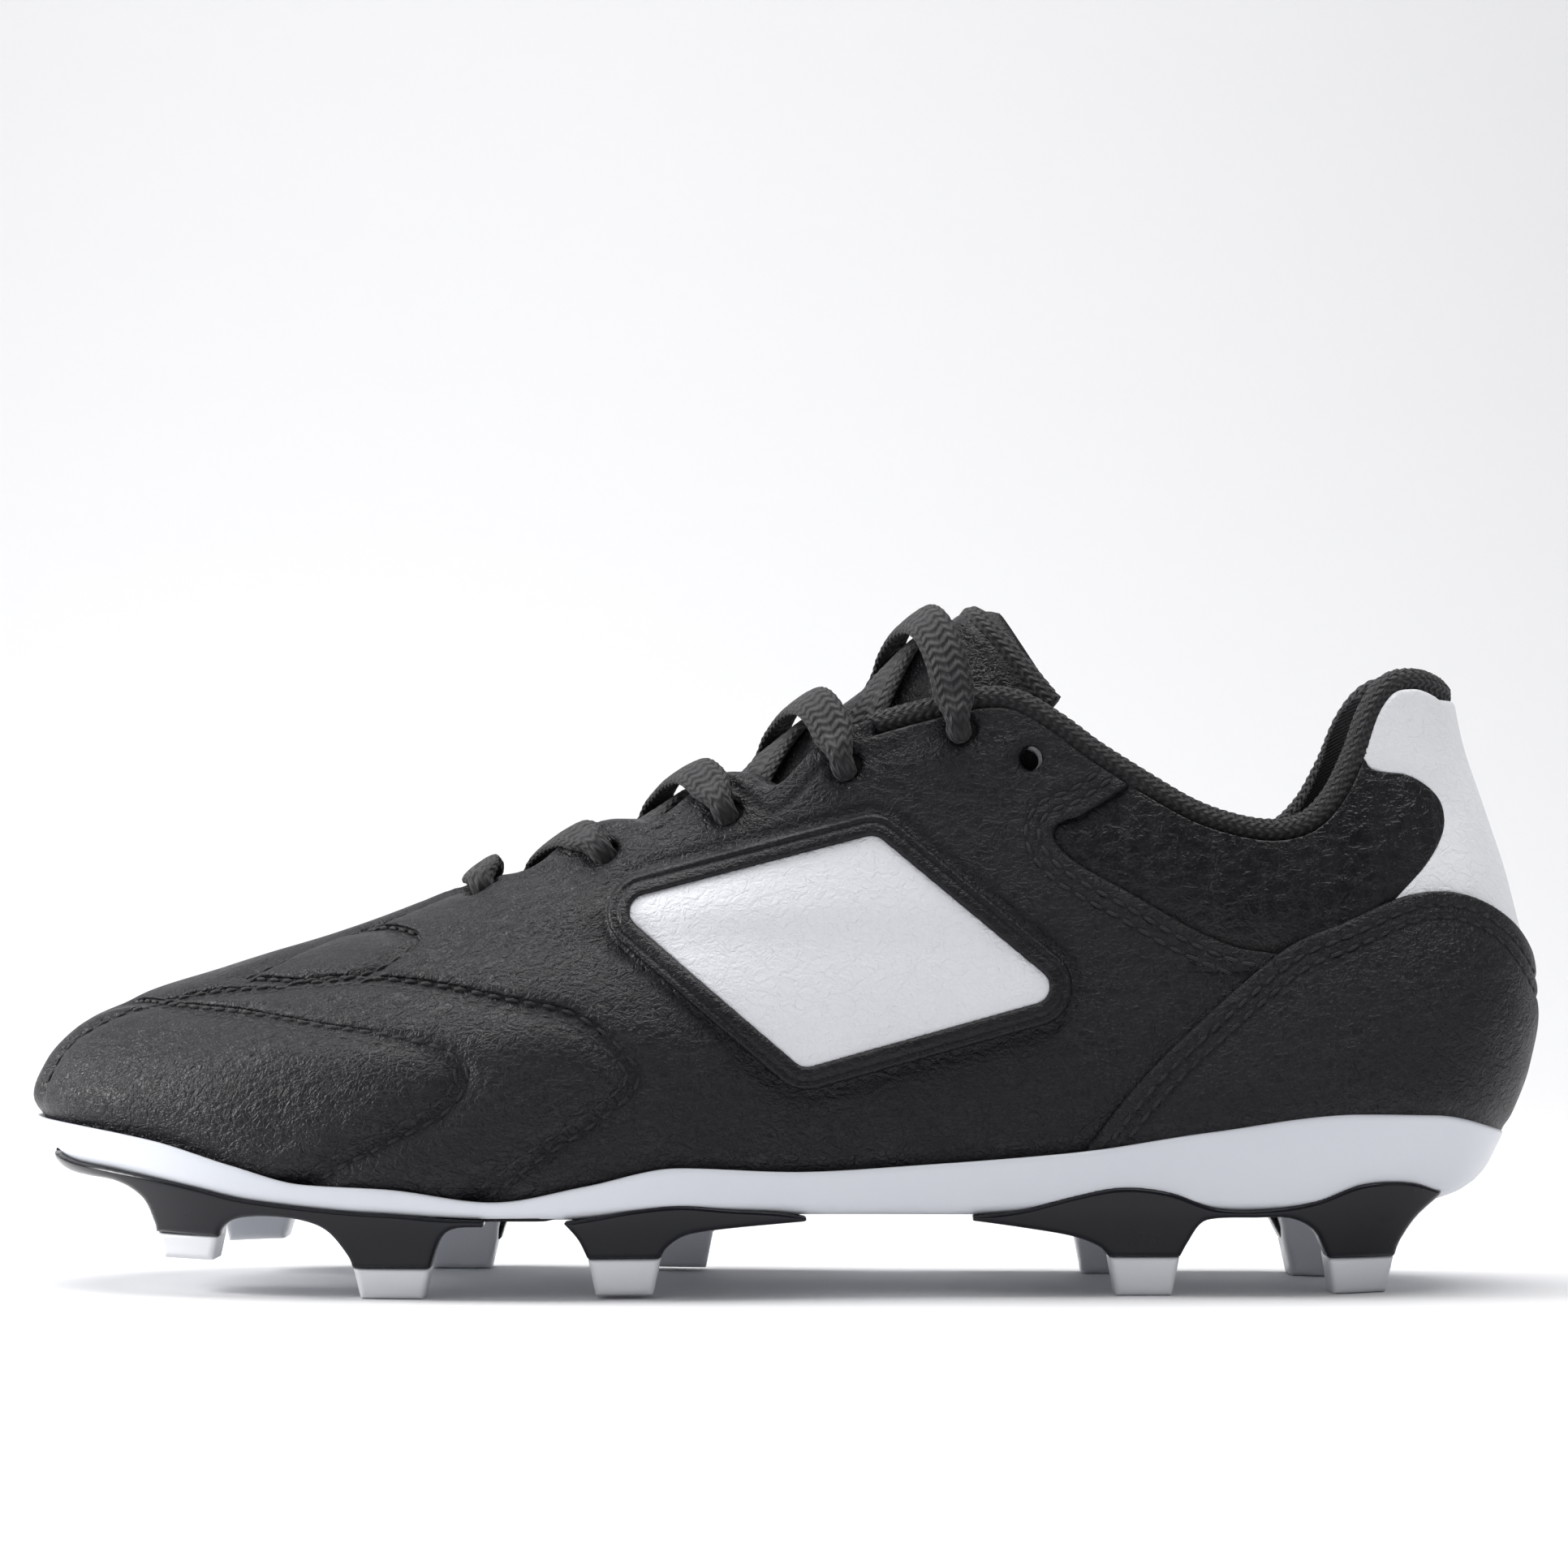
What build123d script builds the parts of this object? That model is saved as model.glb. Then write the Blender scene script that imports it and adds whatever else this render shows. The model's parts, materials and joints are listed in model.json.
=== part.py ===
from build123d import *
import math
import os

# Soccer cleat, left foot.  Millimetres.  +Z up, toe towards -X, lateral side towards -Y.
# Origin: middle of the length, on the ground plane.

# ------------------------------------------------------------------ driving dimensions

# Upper surface in side view: where each level starts (toe, then instep ridge) and ends (heel).
FRONT_BY_LEVEL = [(0, -105), (8, -107), (14, -110), (20, -114.5), (26, -118.2), (30, -119.9), (35, -118),
                  (40, -113.5), (45, -104), (50, -90), (55, -72.5), (60, -58.5), (64.5, -48), (70, -39), (75, -29.5),
                  (85, -10.5), (96, 6.5), (110, 24.5), (130, 46.5)]
BACK_BY_LEVEL = [(0, 101), (6, 103.5), (14, 108), (20, 111), (27, 114.2), (35, 117.2), (44, 118.9), (50, 118.7),
                 (57, 117), (66, 114.6), (78, 110.6), (86, 108), (94, 106.5), (130, 100)]
# Half widths in plan at the widest level, and how they shrink above and below it.
LATERAL_WIDTH = [(-120, 34), (-100, 37), (-80, 40.5), (-60, 42.5), (-40, 42), (-20, 39), (0, 35), (20, 32),
                 (40, 30), (60, 30), (100, 30.5)]
MEDIAL_WIDTH = [(-120, 32), (-100, 34), (-80, 38.5), (-60, 40.5), (-40, 39.5), (-20, 36), (0, 32.5), (20, 30),
                (40, 29), (60, 29.5), (100, 30)]
WIDTH_BY_LEVEL = [(0, 0.86), (6, 0.885), (14, 0.955), (22, 0.995), (28, 1.0), (38, 0.975), (50, 0.92), (62, 0.85),
                  (75, 0.76), (90, 0.68), (120, 0.58)]
CENTRELINE = [(-120, 4.3), (-80, 2.8), (-40, -0.2), (0, -2.2), (120, -2.2)]
HEEL_CENTRE = CENTRELINE[-1][1]
# Length over which each level rounds off at its front and at its back.
FRONT_ROUNDING = [(6, 40), (25, 43), (35, 55), (45, 100), (52, 112), (60, 90), (68, 85), (76, 75), (84, 55),
                  (95, 40), (120, 30)]
BACK_ROUNDING = 32

LEVELS = [0, 6, 12, 18, 24, 30, 36, 41, 45, 49, 53, 57, 62, 68, 75, 83, 91, 99, 107, 116]
POINTS_PER_LEVEL = 32

# Underside of the sole plate and upper edge of its white rim, in side view.
PLATE_UNDERSIDE = [(-121, 24.5), (-117, 21), (-112, 19.2), (-104, 18.2), (-92, 15.8), (-79, 13.5), (-60, 12.3),
                   (-38, 12.1), (0, 12.7), (40, 12.4), (90, 12.6), (103, 14.4), (110, 16.5), (116, 21)]
RIM_TOP = [(-121, 27), (-110, 25.8), (-97, 23.8), (-84, 20.2), (-73, 17.5), (-60, 16.9), (-44, 15),
           (-30, 17.4), (-16, 20.1), (2, 19.4), (22, 20.4), (44, 22.1), (66, 25.4), (88, 28), (100, 27.8),
           (116, 24)]

# Reach beyond the shoe in every direction, and the plane that side-view outlines are drawn on.
FAR = 200
SIDE_PLANE = -100

# Depth of the layers below the surface of the upper; negative depths lie outside it.
GAP = 0.1
UPPER_THICKNESS = 1.3
STIFFENER_BACK = 2.3
VAMP_LINING_BACK = 2.9
ANKLE_FOAM_BACK = 4.4
ANKLE_LINING_BACK = 5.0
TONGUE_FACE_FRONT = 4.9
TONGUE_FACE_BACK = 5.7
TONGUE_FOAM_BACK = 8.9
TONGUE_LINING_BACK = 9.5
FOXING_OUTSET = 1.1
EMBLEM_FRAME_OUTSET = 0.8
EMBLEM_INLAY_OUTSET = 0.5

# Sole: plate, white rim, black overmoulded carriers and white studs.
PLATE_THICKNESS = 3.0
BOARD_THICKNESS = 1.2
SOCKLINER_THICKNESS = 4.0
SOCKLINER_EDGE = 6.2
RIM_OUTSET = 1.4
CARRIER_OUTSET = 2.0
CARRIER_BACK = 6.4
STUD_OUTSET = 1.7
STUD_BACK = 6.8
STEM_OUTSET = 0.5

# Collar binding: centre of the knit roll from the last eyelet round the heel, in side view.
BINDING_RADIUS = 2.35
BINDING_PATH = [(12.5, 87.4), (20, 89.5), (30, 91.8), (36, 91.4), (42, 88), (48, 83.5), (55, 79), (62, 74.8),
                (68, 72.4), (75, 71.1), (81, 72.3), (85.5, 76.5), (89, 83), (91.8, 90), (95, 94.2), (99, 95.2),
                (102.5, 94.4)]
BINDING_REAR = (104.1, 93.6)
BINDING_DEPTH = 2.6

# Eyelets in side view, from the toe; the last pair stays empty.
EYELETS = [(-47.4, 62.7), (-28.3, 68.2), (-9.2, 74.4), (9.2, 81.4), (27.1, 87.2), (37.6, 82.8)]
LACED_ROWS = 5
EYELET_RADIUS = 1.95
LACE_RADIUS = 0.88
LACE_ROOM = 0.6
# Heights of the lace above the surface, along a strand: over the first row, and the two crossings.
STRAND_STATIONS = [0.12, 0.24, 0.37, 0.5, 0.63, 0.76, 0.88]
LACE_OVER = [(0, 1.15), (0.5, 1.6), (1, 1.15)]
LACE_LOW_CROSS = [(0, -3.1), (0.6, -2.9), (0.76, -1.9), (0.88, 1.1), (1, 1.1)]
LACE_HIGH_CROSS = [(0, -3.1), (0.24, -2.6), (0.37, -0.9), (0.5, -0.5), (0.76, -0.1), (0.88, 1.1), (1, 1.1)]
# Bend through an eyelet: (height above the surface, distance back towards the strand).
EYELET_BEND = [(1.15, 0.9), (0.2, -0.3), (-1.5, -0.5), (-3.1, 0.2)]
# Direction out of the instep ridge, and how far each side of the ridge it is blended in.
RIDGE_NORMAL = (-0.6, 0, 0.8)
RIDGE_BLEND = 8

# Half gap of the throat in plan: narrow at each eyelet tab, wider between the tabs.
THROAT_EDGE = [(-54, 0), (-47, 6.5), (-38.5, 13), (-30, 9), (-20.5, 16), (-11, 13), (-1.5, 18.5), (7, 16.5),
               (16, 17.5), (40, 17.5)]

# Side-view seams of the upper.
FOXING_EDGE = [(44, 16), (46.5, 22.7), (53.8, 32.5), (62.9, 41.4), (76.8, 53), (86, 57.2), (97.3, 61.8),
               (106.5, 61.6), (114.7, 57.3), (124, 48)]
QUARTER_EDGE = [(56, 82), (46.8, 74.6), (42.3, 72.4), (41.7, 69.8), (45.5, 66.3), (54.3, 61.4), (62.7, 56.7),
                (72, 53)]
QUARTER_UNDER_FOXING = [(72, 53), (84, 50), (97, 54), (107, 55), (124, 44)]
HEEL_TAB_EDGE = [(90, 84), (91.5, 81.1), (97.6, 80.2), (101.8, 77.5), (103.1, 74.3), (102.4, 70.7),
                 (99.1, 65.8), (92, 58), (90, 50)]
TOE_PUFF_BACK = -84
COUNTER_EDGE = [(66, 24), (78, 40), (100, 50), (130, 50)]
BACKING_END = 36
# Front edge of the padded ankle zone, in side view.
ANKLE_EDGE = [(38, 78), (44, 62), (52, 46), (50, 20)]
# Outer edges of the eyelet strips, in plan.
EYESTAY_LATERAL = [(-55, -19), (-30, -26), (0, -28), (40, -27)]
EYESTAY_MEDIAL = [(40, 30), (-30, 29), (-55, 22)]
EYESTAY_FRONT = -55
EYESTAY_FLOOR = 56

# Plain slanted side panel: corners of its core, grown outwards to give round corners.
EMBLEM_CORE = [(-21, 59), (13.5, 68), (38, 47.5), (3.5, 38)]
EMBLEM_INLAY_GROW = 2.5
EMBLEM_FRAME_GROW = 6.0

# Black carriers in side view (lateral): runs of points, each run a smooth curve or a straight line.
FOREFOOT_CARRIER = [
    [(-119.5, 22.5), (-112, 20.2), (-106, 19.3), (-97.5, 18.1), (-89.8, 16.7), (-82, 15.1), (-67.5, 13.6),
     (-59, 13.1), (-52, 12.5), (-45.4, 12.2)],
    [(-45.4, 12.2), (-45.4, 11.2)],
    [(-45.4, 11.2), (-49.5, 11), (-51.6, 9.9), (-52.8, 7.7), (-53.7, 4.7)],
    [(-53.7, 4.7), (-65.5, 4.7)],
    [(-65.5, 4.7), (-66.4, 6.8), (-69.5, 10.5), (-73.8, 12.1), (-79.3, 12.5), (-83.7, 12), (-86.1, 10.5),
     (-86.8, 9)],
    [(-86.8, 9), (-97.5, 9.4)],
    [(-97.5, 9.4), (-97.8, 11.1), (-99.5, 14.8), (-104, 17.2), (-112, 18.2), (-119.5, 21.5)],
    [(-119.5, 21.5), (-119.5, 22.5)],
]
MIDFOOT_CARRIER = [
    [(-33.4, 11.9), (-29, 12.6), (-23, 13.7), (-15.7, 14.4), (-8.3, 13.8), (-1, 13.3), (3.4, 12.4)],
    [(3.4, 12.4), (3.4, 11.8)],
    [(3.4, 11.8), (-8.3, 10.8), (-14.5, 9.9), (-17.6, 8.1), (-18.8, 6.2)],
    [(-18.8, 6.2), (-29.7, 6.2)],
    [(-29.7, 6.2), (-31.2, 9.3), (-33.4, 11.9)],
]
HEEL_CARRIER = [
    [(28.9, 12.4), (36.4, 13.4), (43.9, 15.4), (51.4, 16.8), (58.8, 16.1), (66.3, 13.6), (73.8, 13.4),
     (81.2, 14.6), (88.7, 17.2), (96.2, 17.4), (101.8, 15.8)],
    [(101.8, 15.8), (101.8, 15.2)],
    [(101.8, 15.2), (98, 12), (95.5, 8.3), (94.6, 5.7)],
    [(94.6, 5.7), (83.7, 5.7)],
    [(83.7, 5.7), (83.1, 7), (81.2, 10.2), (77.5, 12), (72, 12.1), (66.3, 12), (63.8, 11.2), (61.9, 8.3),
     (60.7, 6)],
    [(60.7, 6), (49.9, 6)],
    [(49.9, 6), (48.2, 7.7), (43.9, 9.3), (36.4, 10.6), (28.9, 11.7)],
    [(28.9, 11.7), (28.9, 12.4)],
]
# Studs (lateral): front and back of the tip line, its height, and the height of the tip's end.
STUDS = [(-97.5, -86.8, 9.2, 5.3), (-65.5, -53.7, 4.7, 0.0), (-29.7, -18.8, 6.2, 0.7), (49.9, 60.7, 6.0, 0.0),
         (83.7, 94.6, 5.7, 0.0)]
STUD_TAPER = 1.1
STEM_MARGIN = 1.6
STEM_START = 1.0
STEM_ROOM = 3.0
# Highest level the stems and the carriers reach inside the wall of the plate.
CARRIER_LIMIT = 26
# How far the medial studs sit behind the lateral ones.
MEDIAL_SHIFT = [(-119, 0), (-98, 5), (-60, 6), (-30, 7), (4, 7), (28, -2), (105, -2)]

# Tongue in side view: reach below the ridge, the slanting top, the fold above the last lace row.
TONGUE_OUTLINE = [(-50, 72), (-50, 47), (-18, 59.5), (10, 75), (32, 86.5), (43, 92), (22.2, 118)]
TONGUE_FOLD = (21.5, 101.3)
TONGUE_RISE = 37.5
FOLD_CLEARANCE = 0.2
FOLD_RELIEF = 14
TONGUE_TOP_HALF_WIDTH = 15.5
TONGUE_BINDING_WIDTH = 3.2


def smooth(knots):
    """A curve through the knots that never overshoots them; flat beyond the ends."""
    steps = [(b[1] - a[1]) / (b[0] - a[0]) for a, b in zip(knots, knots[1:])]
    slopes = [steps[0]]
    for left, right in zip(steps, steps[1:]):
        slopes.append(2 * left * right / (left + right) if left * right > 0 else 0.0)
    slopes.append(steps[-1])

    def value(t):
        if t <= knots[0][0]:
            return float(knots[0][1])
        for (x0, y0), (x1, y1), m0, m1 in zip(knots, knots[1:], slopes, slopes[1:]):
            if t <= x1:
                w = x1 - x0
                u = (t - x0) / w
                rise = y0 * (1 + 2 * u) * (1 - u) ** 2 + y1 * u * u * (3 - 2 * u)
                return rise + w * (m0 * u * (1 - u) ** 2 - m1 * u * u * (1 - u))
        return float(knots[-1][1])

    return value


front_at = smooth(FRONT_BY_LEVEL)
back_at = smooth(BACK_BY_LEVEL)
lateral_width = smooth(LATERAL_WIDTH)
medial_width = smooth(MEDIAL_WIDTH)
width_factor = smooth(WIDTH_BY_LEVEL)
centre_at = smooth(CENTRELINE)
front_rounding = smooth(FRONT_ROUNDING)
underside_at = smooth(PLATE_UNDERSIDE)
rim_top_at = smooth(RIM_TOP)
medial_shift = smooth(MEDIAL_SHIFT)


def rounded(distance, length):
    """Near 1 away from an end, falling to 0 at the end with the round nose of an ellipse."""
    share = max(0.0, distance) / length
    return math.sqrt(1 - math.exp(-2 * share - 1.2 * share * share))


def front_inset(z, inset):
    """Front of a level on the surface that lies the given distance inside the ridge and the toe."""
    level, run = z, 1.0
    for _ in range(6):
        slope = front_at(level + 0.5) - front_at(level - 0.5)
        run = math.hypot(1, slope)
        level = z + inset * slope / run
    return front_at(level) + inset / run


def surface_y(x, z, side, inset=0.0):
    """Y of the upper's surface, or of a layer below it, at a side-view position; side -1 lateral, +1 medial."""
    width = lateral_width(x) if side < 0 else medial_width(x)
    nose = rounded(x - front_inset(z, inset), front_rounding(z))
    heel = rounded(back_at(z) - inset - x, BACK_ROUNDING)
    return centre_at(x) + side * (width * width_factor(z) - inset) * nose * heel


def level_point(turn, z, inset):
    """Point of the outline at one level; turn runs 0..1 from the front, lateral side first."""
    front, back = front_inset(z, inset), back_at(z) - inset
    x = front + (back - front) * (1 - math.cos(2 * math.pi * turn)) / 2
    return x, surface_y(x, z, -1 if turn < 0.5 else 1, inset), z


made_lasts = {}


def last(inset):
    """Solid body whose skin lies the given distance inside the surface of the upper."""
    key = round(inset, 3)
    if key not in made_lasts:
        even_steps = [float(i) for i in range(POINTS_PER_LEVEL + 1)]
        wires = []
        for z in LEVELS:
            points = [level_point(i / POINTS_PER_LEVEL, z, inset) for i in range(POINTS_PER_LEVEL)]
            wires.append(Wire([Edge.make_spline(points, periodic=True, parameters=even_steps)]))
        made_lasts[key] = Solid.make_loft(wires)
    return made_lasts[key]


def shell(outer, inner):
    """Layer between two depths, open at the bottom and at the top."""
    return last(outer) - last(inner)


def side_region(outline):
    """Everything inside a closed side-view outline of (x, z) points or ready-made edges."""
    if isinstance(outline[0], Edge):
        wire = Wire(outline)
    else:
        wire = Wire.make_polygon([(x, SIDE_PLANE, z) for x, z in outline], close=True)
    return Solid.extrude(Face(wire), (0, -2 * SIDE_PLANE, 0))


def side_spline(points):
    return Spline(*[(x, SIDE_PLANE, z) for x, z in points])


def side_lines(points):
    corners = [(x, SIDE_PLANE, z) for x, z in points]
    return [Line(a, b) for a, b in zip(corners, corners[1:])]


def below_run(points):
    """Everything below a side-view run of points."""
    (first, _), (final, _) = points[0], points[-1]
    border = side_lines([points[-1], (final, -FAR), (first, -FAR), points[0]])
    return side_region([side_spline(points)] + border)


def above_run(points):
    """Everything above a side-view run of points, and behind its rear end."""
    border = side_lines([points[-1], (FAR, points[-1][1]), (FAR, FAR), (points[0][0], FAR), points[0]])
    return side_region([side_spline(points)] + border)


def behind_runs(runs, low):
    """Everything behind a side-view edge made of runs, down to a level."""
    first, final = runs[0][0], runs[-1][-1]
    border = side_lines([final, (final[0], low), (FAR, low), (FAR, FAR), (first[0], FAR), first])
    return side_region([side_spline(run) for run in runs] + border)


def under_curve(curve, offset=0.0):
    """Everything below a side-view height curve."""
    stations = [-160, -121, -115, -108, -97, -84, -73, -60, -44, -30, -16, 0, 22, 44, 66, 88, 100, 108, 116, 160]
    return below_run([(x, curve(x) + offset) for x in stations])


def side_runs(runs, shift=None):
    """Side-view region bounded by runs of points; long runs are splines, two-point runs straight."""
    edges = []
    for run in runs:
        moved = [(x + (shift(x) if shift else 0), SIDE_PLANE, z) for x, z in run]
        edges.append(Spline(*moved) if len(moved) > 2 else Line(*moved))
    return side_region(edges)


def half(side):
    """Everything on the lateral (-1) or medial (+1) side of the centreline."""
    return Pos(0, HEEL_CENTRE + side * FAR / 2, 0) * Box(2 * FAR, FAR, 2 * FAR)


def block(x0, x1, z0=-FAR, z1=FAR):
    """Everything between two sections across the shoe, and between two levels."""
    return Pos((x0 + x1) / 2, 0, (z0 + z1) / 2) * Box(x1 - x0, 2 * FAR, z1 - z0)


def surface_point(x, z, side):
    return Vector(x, surface_y(x, z, side), z)


def surface_normal(x, z, side):
    """Outward normal of the upper's surface."""
    step = 0.4
    along = surface_point(x + step, z, side) - surface_point(x - step, z, side)
    up = surface_point(x, z + step, side) - surface_point(x, z - step, side)
    normal = along.cross(up).normalized()
    return normal if normal.Y * side > 0 else normal * -1


def surface_height(x, y):
    """Height of the surface over a plan position on the instep."""
    side = -1 if y < centre_at(x) else 1
    low, high = 45.0, 115.0
    for _ in range(40):
        middle = (low + high) / 2
        inside = front_at(middle) < x and abs(surface_y(x, middle, side) - centre_at(x)) > abs(y - centre_at(x))
        low, high = (middle, high) if inside else (low, middle)
    return low


def rod(centre, direction, radius, length):
    """Round bar centred on a point."""
    plane = Plane(origin=centre - direction * (length / 2), z_dir=direction)
    return Solid.make_cylinder(radius, length, plane)


# ------------------------------------------------------------------ shared cutters

def lasting_line(offset=0.0):
    """Everything below the top face of the sole plate."""
    return under_curve(underside_at, PLATE_THICKNESS + offset)


def binding_points():
    """Centre line of the collar binding, lateral front end to medial front end."""
    lateral = [(x, surface_y(x, z, -1, BINDING_DEPTH), z) for x, z in BINDING_PATH]
    medial = [(x, surface_y(x, z, 1, BINDING_DEPTH), z) for x, z in reversed(BINDING_PATH)]
    return lateral + [(BINDING_REAR[0], HEEL_CENTRE, BINDING_REAR[1])] + medial


def binding_roll(radius):
    path = Spline(*binding_points())
    ring = Wire(Edge.make_circle(radius, Plane(origin=path @ 0, z_dir=path % 0)))
    return Solid.sweep(ring, Wire(path))


def binding_seat_line():
    """Side-view line just under the binding, where the layers of the collar end."""
    path = BINDING_PATH + [BINDING_REAR]
    drop = BINDING_RADIUS + GAP
    line = []
    for i, (x, z) in enumerate(path):
        (xa, za), (xb, zb) = path[max(i - 1, 0)], path[min(i + 1, len(path) - 1)]
        length = math.hypot(xb - xa, zb - za)
        line.append((x + drop * (zb - za) / length, z - drop * (xb - xa) / length))
    return line


def throat_cutter():
    """Plan-shaped opening between the eyelet tabs."""
    lateral = [(x, centre_at(x) - gap, 0) for x, gap in THROAT_EDGE]
    medial = [(x, centre_at(x) + gap, 0) for x, gap in reversed(THROAT_EDGE)]
    outline = Wire([Spline(*(lateral[:-1])), Line(lateral[-2], lateral[-1]), Line(lateral[-1], medial[0]),
                    Line(medial[0], medial[1]), Spline(*medial[1:])])
    return Solid.extrude(Face(outline), (0, 0, FAR))


def eyelet_bars(rows, radius, length=16):
    bars = []
    for x, z in rows:
        for side in (-1, 1):
            bars.append(rod(surface_point(x, z, side), surface_normal(x, z, side), radius, length))
    return bars


os.makedirs("parts", exist_ok=True)
seat_line = binding_seat_line()
collar_opening = above_run(seat_line)
throat = throat_cutter()
eyelet_holes = eyelet_bars(EYELETS, EYELET_RADIUS)
below_board = lasting_line()
inside_board = lasting_line(BOARD_THICKNESS + GAP)
REAR_LOW = 30
quarter_rear = behind_runs([QUARTER_EDGE, QUARTER_UNDER_FOXING], REAR_LOW)
tab_rear = behind_runs([HEEL_TAB_EDGE], REAR_LOW)
ankle_zone = behind_runs([ANKLE_EDGE], -FAR)


def trimmed(layer, bottom, with_eyelets=True):
    """Cut a wall layer at the sole, the collar, the throat and the eyelets."""
    layer = layer - bottom - collar_opening - throat
    return layer - eyelet_holes if with_eyelets else layer


def write(node, shape):
    """Save one node; a list of shapes becomes a group of separate solids."""
    solids = shape if isinstance(shape, list) else [shape]
    pieces = [s for item in solids for s in item.solids()]
    export_step(Compound(children=pieces) if len(pieces) > 1 else pieces[0], f"parts/{node}.step",
                write_pcurves=False)
    box = Compound(children=pieces).bounding_box()
    print(node, len(pieces), [round(v, 1) for v in (*box.min, *box.max)], flush=True)


# ------------------------------------------------------------------ outer layer of the upper

def upper_main():
    return trimmed(shell(0, UPPER_THICKNESS), below_board) - quarter_rear


def rear_panels():
    """Heel tab and the two padded collar panels, cut from one band behind the quarter seam."""
    band = trimmed(shell(0, UPPER_THICKNESS), below_board, False) & quarter_rear
    panels = band - tab_rear
    return band & tab_rear, panels & half(-1), panels & half(1)


def heel_foxing():
    """Overlay wrapped round the heel, from the rim up to the curved top seam."""
    band = shell(-FOXING_OUTSET, -GAP) & below_run(FOXING_EDGE)
    return band - under_curve(rim_top_at, GAP)


def grown_outline(grow):
    core = Wire.make_polygon([(x, SIDE_PLANE, z) for x, z in EMBLEM_CORE], close=True)
    return Solid.extrude(Face(core.offset_2d(grow)), (0, -2 * SIDE_PLANE, 0))


def side_emblem(side):
    """Plain slanted white inlay inside a raised black frame."""
    region = grown_outline(EMBLEM_INLAY_GROW)
    frame_region = grown_outline(EMBLEM_FRAME_GROW) - grown_outline(EMBLEM_INLAY_GROW + GAP)
    inlay = shell(-EMBLEM_INLAY_OUTSET, -GAP) & region & half(side)
    frame = shell(-EMBLEM_FRAME_OUTSET, -GAP) & frame_region & half(side)
    return inlay, frame


# ------------------------------------------------------------------ hidden layers of the upper

def stiffener_layer():
    """The layer just behind the outer skin: puff, eyestay strips, backing foam, all in one band."""
    return trimmed(shell(UPPER_THICKNESS + GAP, STIFFENER_BACK), inside_board)


def eyestay_zone(grow):
    """Plan zone that carries the eyelets on both sides of the throat."""
    floor = EYESTAY_FLOOR - grow
    lateral = [(x - grow if x == EYESTAY_FRONT else x, y - grow, floor) for x, y in EYESTAY_LATERAL]
    medial = [(x - grow if x == EYESTAY_FRONT else x, y + grow, floor) for x, y in EYESTAY_MEDIAL]
    return Solid.extrude(Face(Wire.make_polygon(lateral + medial, close=True)), (0, 0, FAR))


def hidden_front():
    """Toe puff, eyestay strips and backing foam."""
    band = stiffener_layer() - block(BACKING_END, FAR)
    puff = band & block(-FAR, TOE_PUFF_BACK)
    rest = band & block(TOE_PUFF_BACK + GAP, FAR)
    strips = rest & eyestay_zone(0)
    foam = rest - eyestay_zone(GAP)
    return puff, strips & half(-1), strips & half(1), foam


def vamp_lining():
    return trimmed(shell(STIFFENER_BACK + GAP, VAMP_LINING_BACK), inside_board) - ankle_zone


def heel_counter():
    cup = shell(UPPER_THICKNESS + GAP, STIFFENER_BACK) - inside_board
    return cup & below_run(COUNTER_EDGE)


def ankle_foam():
    """Collar and heel padding between the outer skin or the heel counter and the lining."""
    band = trimmed(shell(UPPER_THICKNESS + GAP, ANKLE_FOAM_BACK), inside_board) & ankle_zone
    counter_room = shell(UPPER_THICKNESS, STIFFENER_BACK + GAP)
    return band - (counter_room & below_run([(x - GAP, z + GAP) for x, z in COUNTER_EDGE]))


def ankle_lining():
    return trimmed(shell(ANKLE_FOAM_BACK + GAP, ANKLE_LINING_BACK), inside_board) & ankle_zone


def strobel_board():
    return (last(UPPER_THICKNESS + GAP) & lasting_line(BOARD_THICKNESS)) - lasting_line(GAP)


def sockliner():
    slab = last(SOCKLINER_EDGE) & lasting_line(BOARD_THICKNESS + GAP + SOCKLINER_THICKNESS)
    return slab - lasting_line(BOARD_THICKNESS + GAP)


# ------------------------------------------------------------------ sole

def stud(side, front, back, top, tip, shift):
    """White stud: tapered tip below the carrier and a narrower stem through it to the plate."""
    front, back = front + shift(front), back + shift(front)
    tip_region = side_region([(front, top - GAP / 2), (back, top - GAP / 2), (back - STUD_TAPER, tip + 1),
                              (back - STUD_TAPER - 1, tip), (front + STUD_TAPER + 1, tip),
                              (front + STUD_TAPER, tip + 1)])
    stem_region = block(front + STEM_MARGIN, back - STEM_MARGIN, top - STEM_START, CARRIER_LIMIT)
    outer = last(-STUD_OUTSET) & tip_region & half(side)
    stem = last(-STEM_OUTSET) & stem_region & half(side)
    return ((outer + stem) - last(STUD_BACK)) & under_curve(underside_at, -GAP)


def all_studs():
    studs = []
    for side in (-1, 1):
        shift = medial_shift if side > 0 else (lambda x: 0)
        studs += [stud(side, *sizes, shift) for sizes in STUDS]
    return studs


def sole_plate():
    """White plate: flat under the foot, with a rim that climbs the wall of the upper."""
    body = (last(-RIM_OUTSET) & under_curve(rim_top_at)) - under_curve(underside_at)
    return body - (last(-GAP) - lasting_line(-GAP))


def carrier_ring(plate_skin):
    """Band round the shoe that all carriers are cut from."""
    ring = (last(-CARRIER_OUTSET) - last(CARRIER_BACK)) & block(-FAR, FAR, -FAR, CARRIER_LIMIT)
    return ring - plate_skin


def carrier(ring, runs, side, cavities):
    outline = side_runs(runs, medial_shift if side > 0 else None)
    return (ring & outline & half(side)) - cavities


def stem_cavities(studs_of_part, side):
    """Room for the stems, so that each stud stands in its carrier with clearance."""
    shift = medial_shift if side > 0 else (lambda x: 0)
    spaces = []
    for front, back, top, tip in studs_of_part:
        front, back = front + shift(front), back + shift(front)
        region = block(front + STEM_MARGIN - GAP, back - STEM_MARGIN + GAP, top - STEM_ROOM, CARRIER_LIMIT)
        spaces.append(last(-STEM_OUTSET - GAP) & region & half(side))
    return spaces


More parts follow.
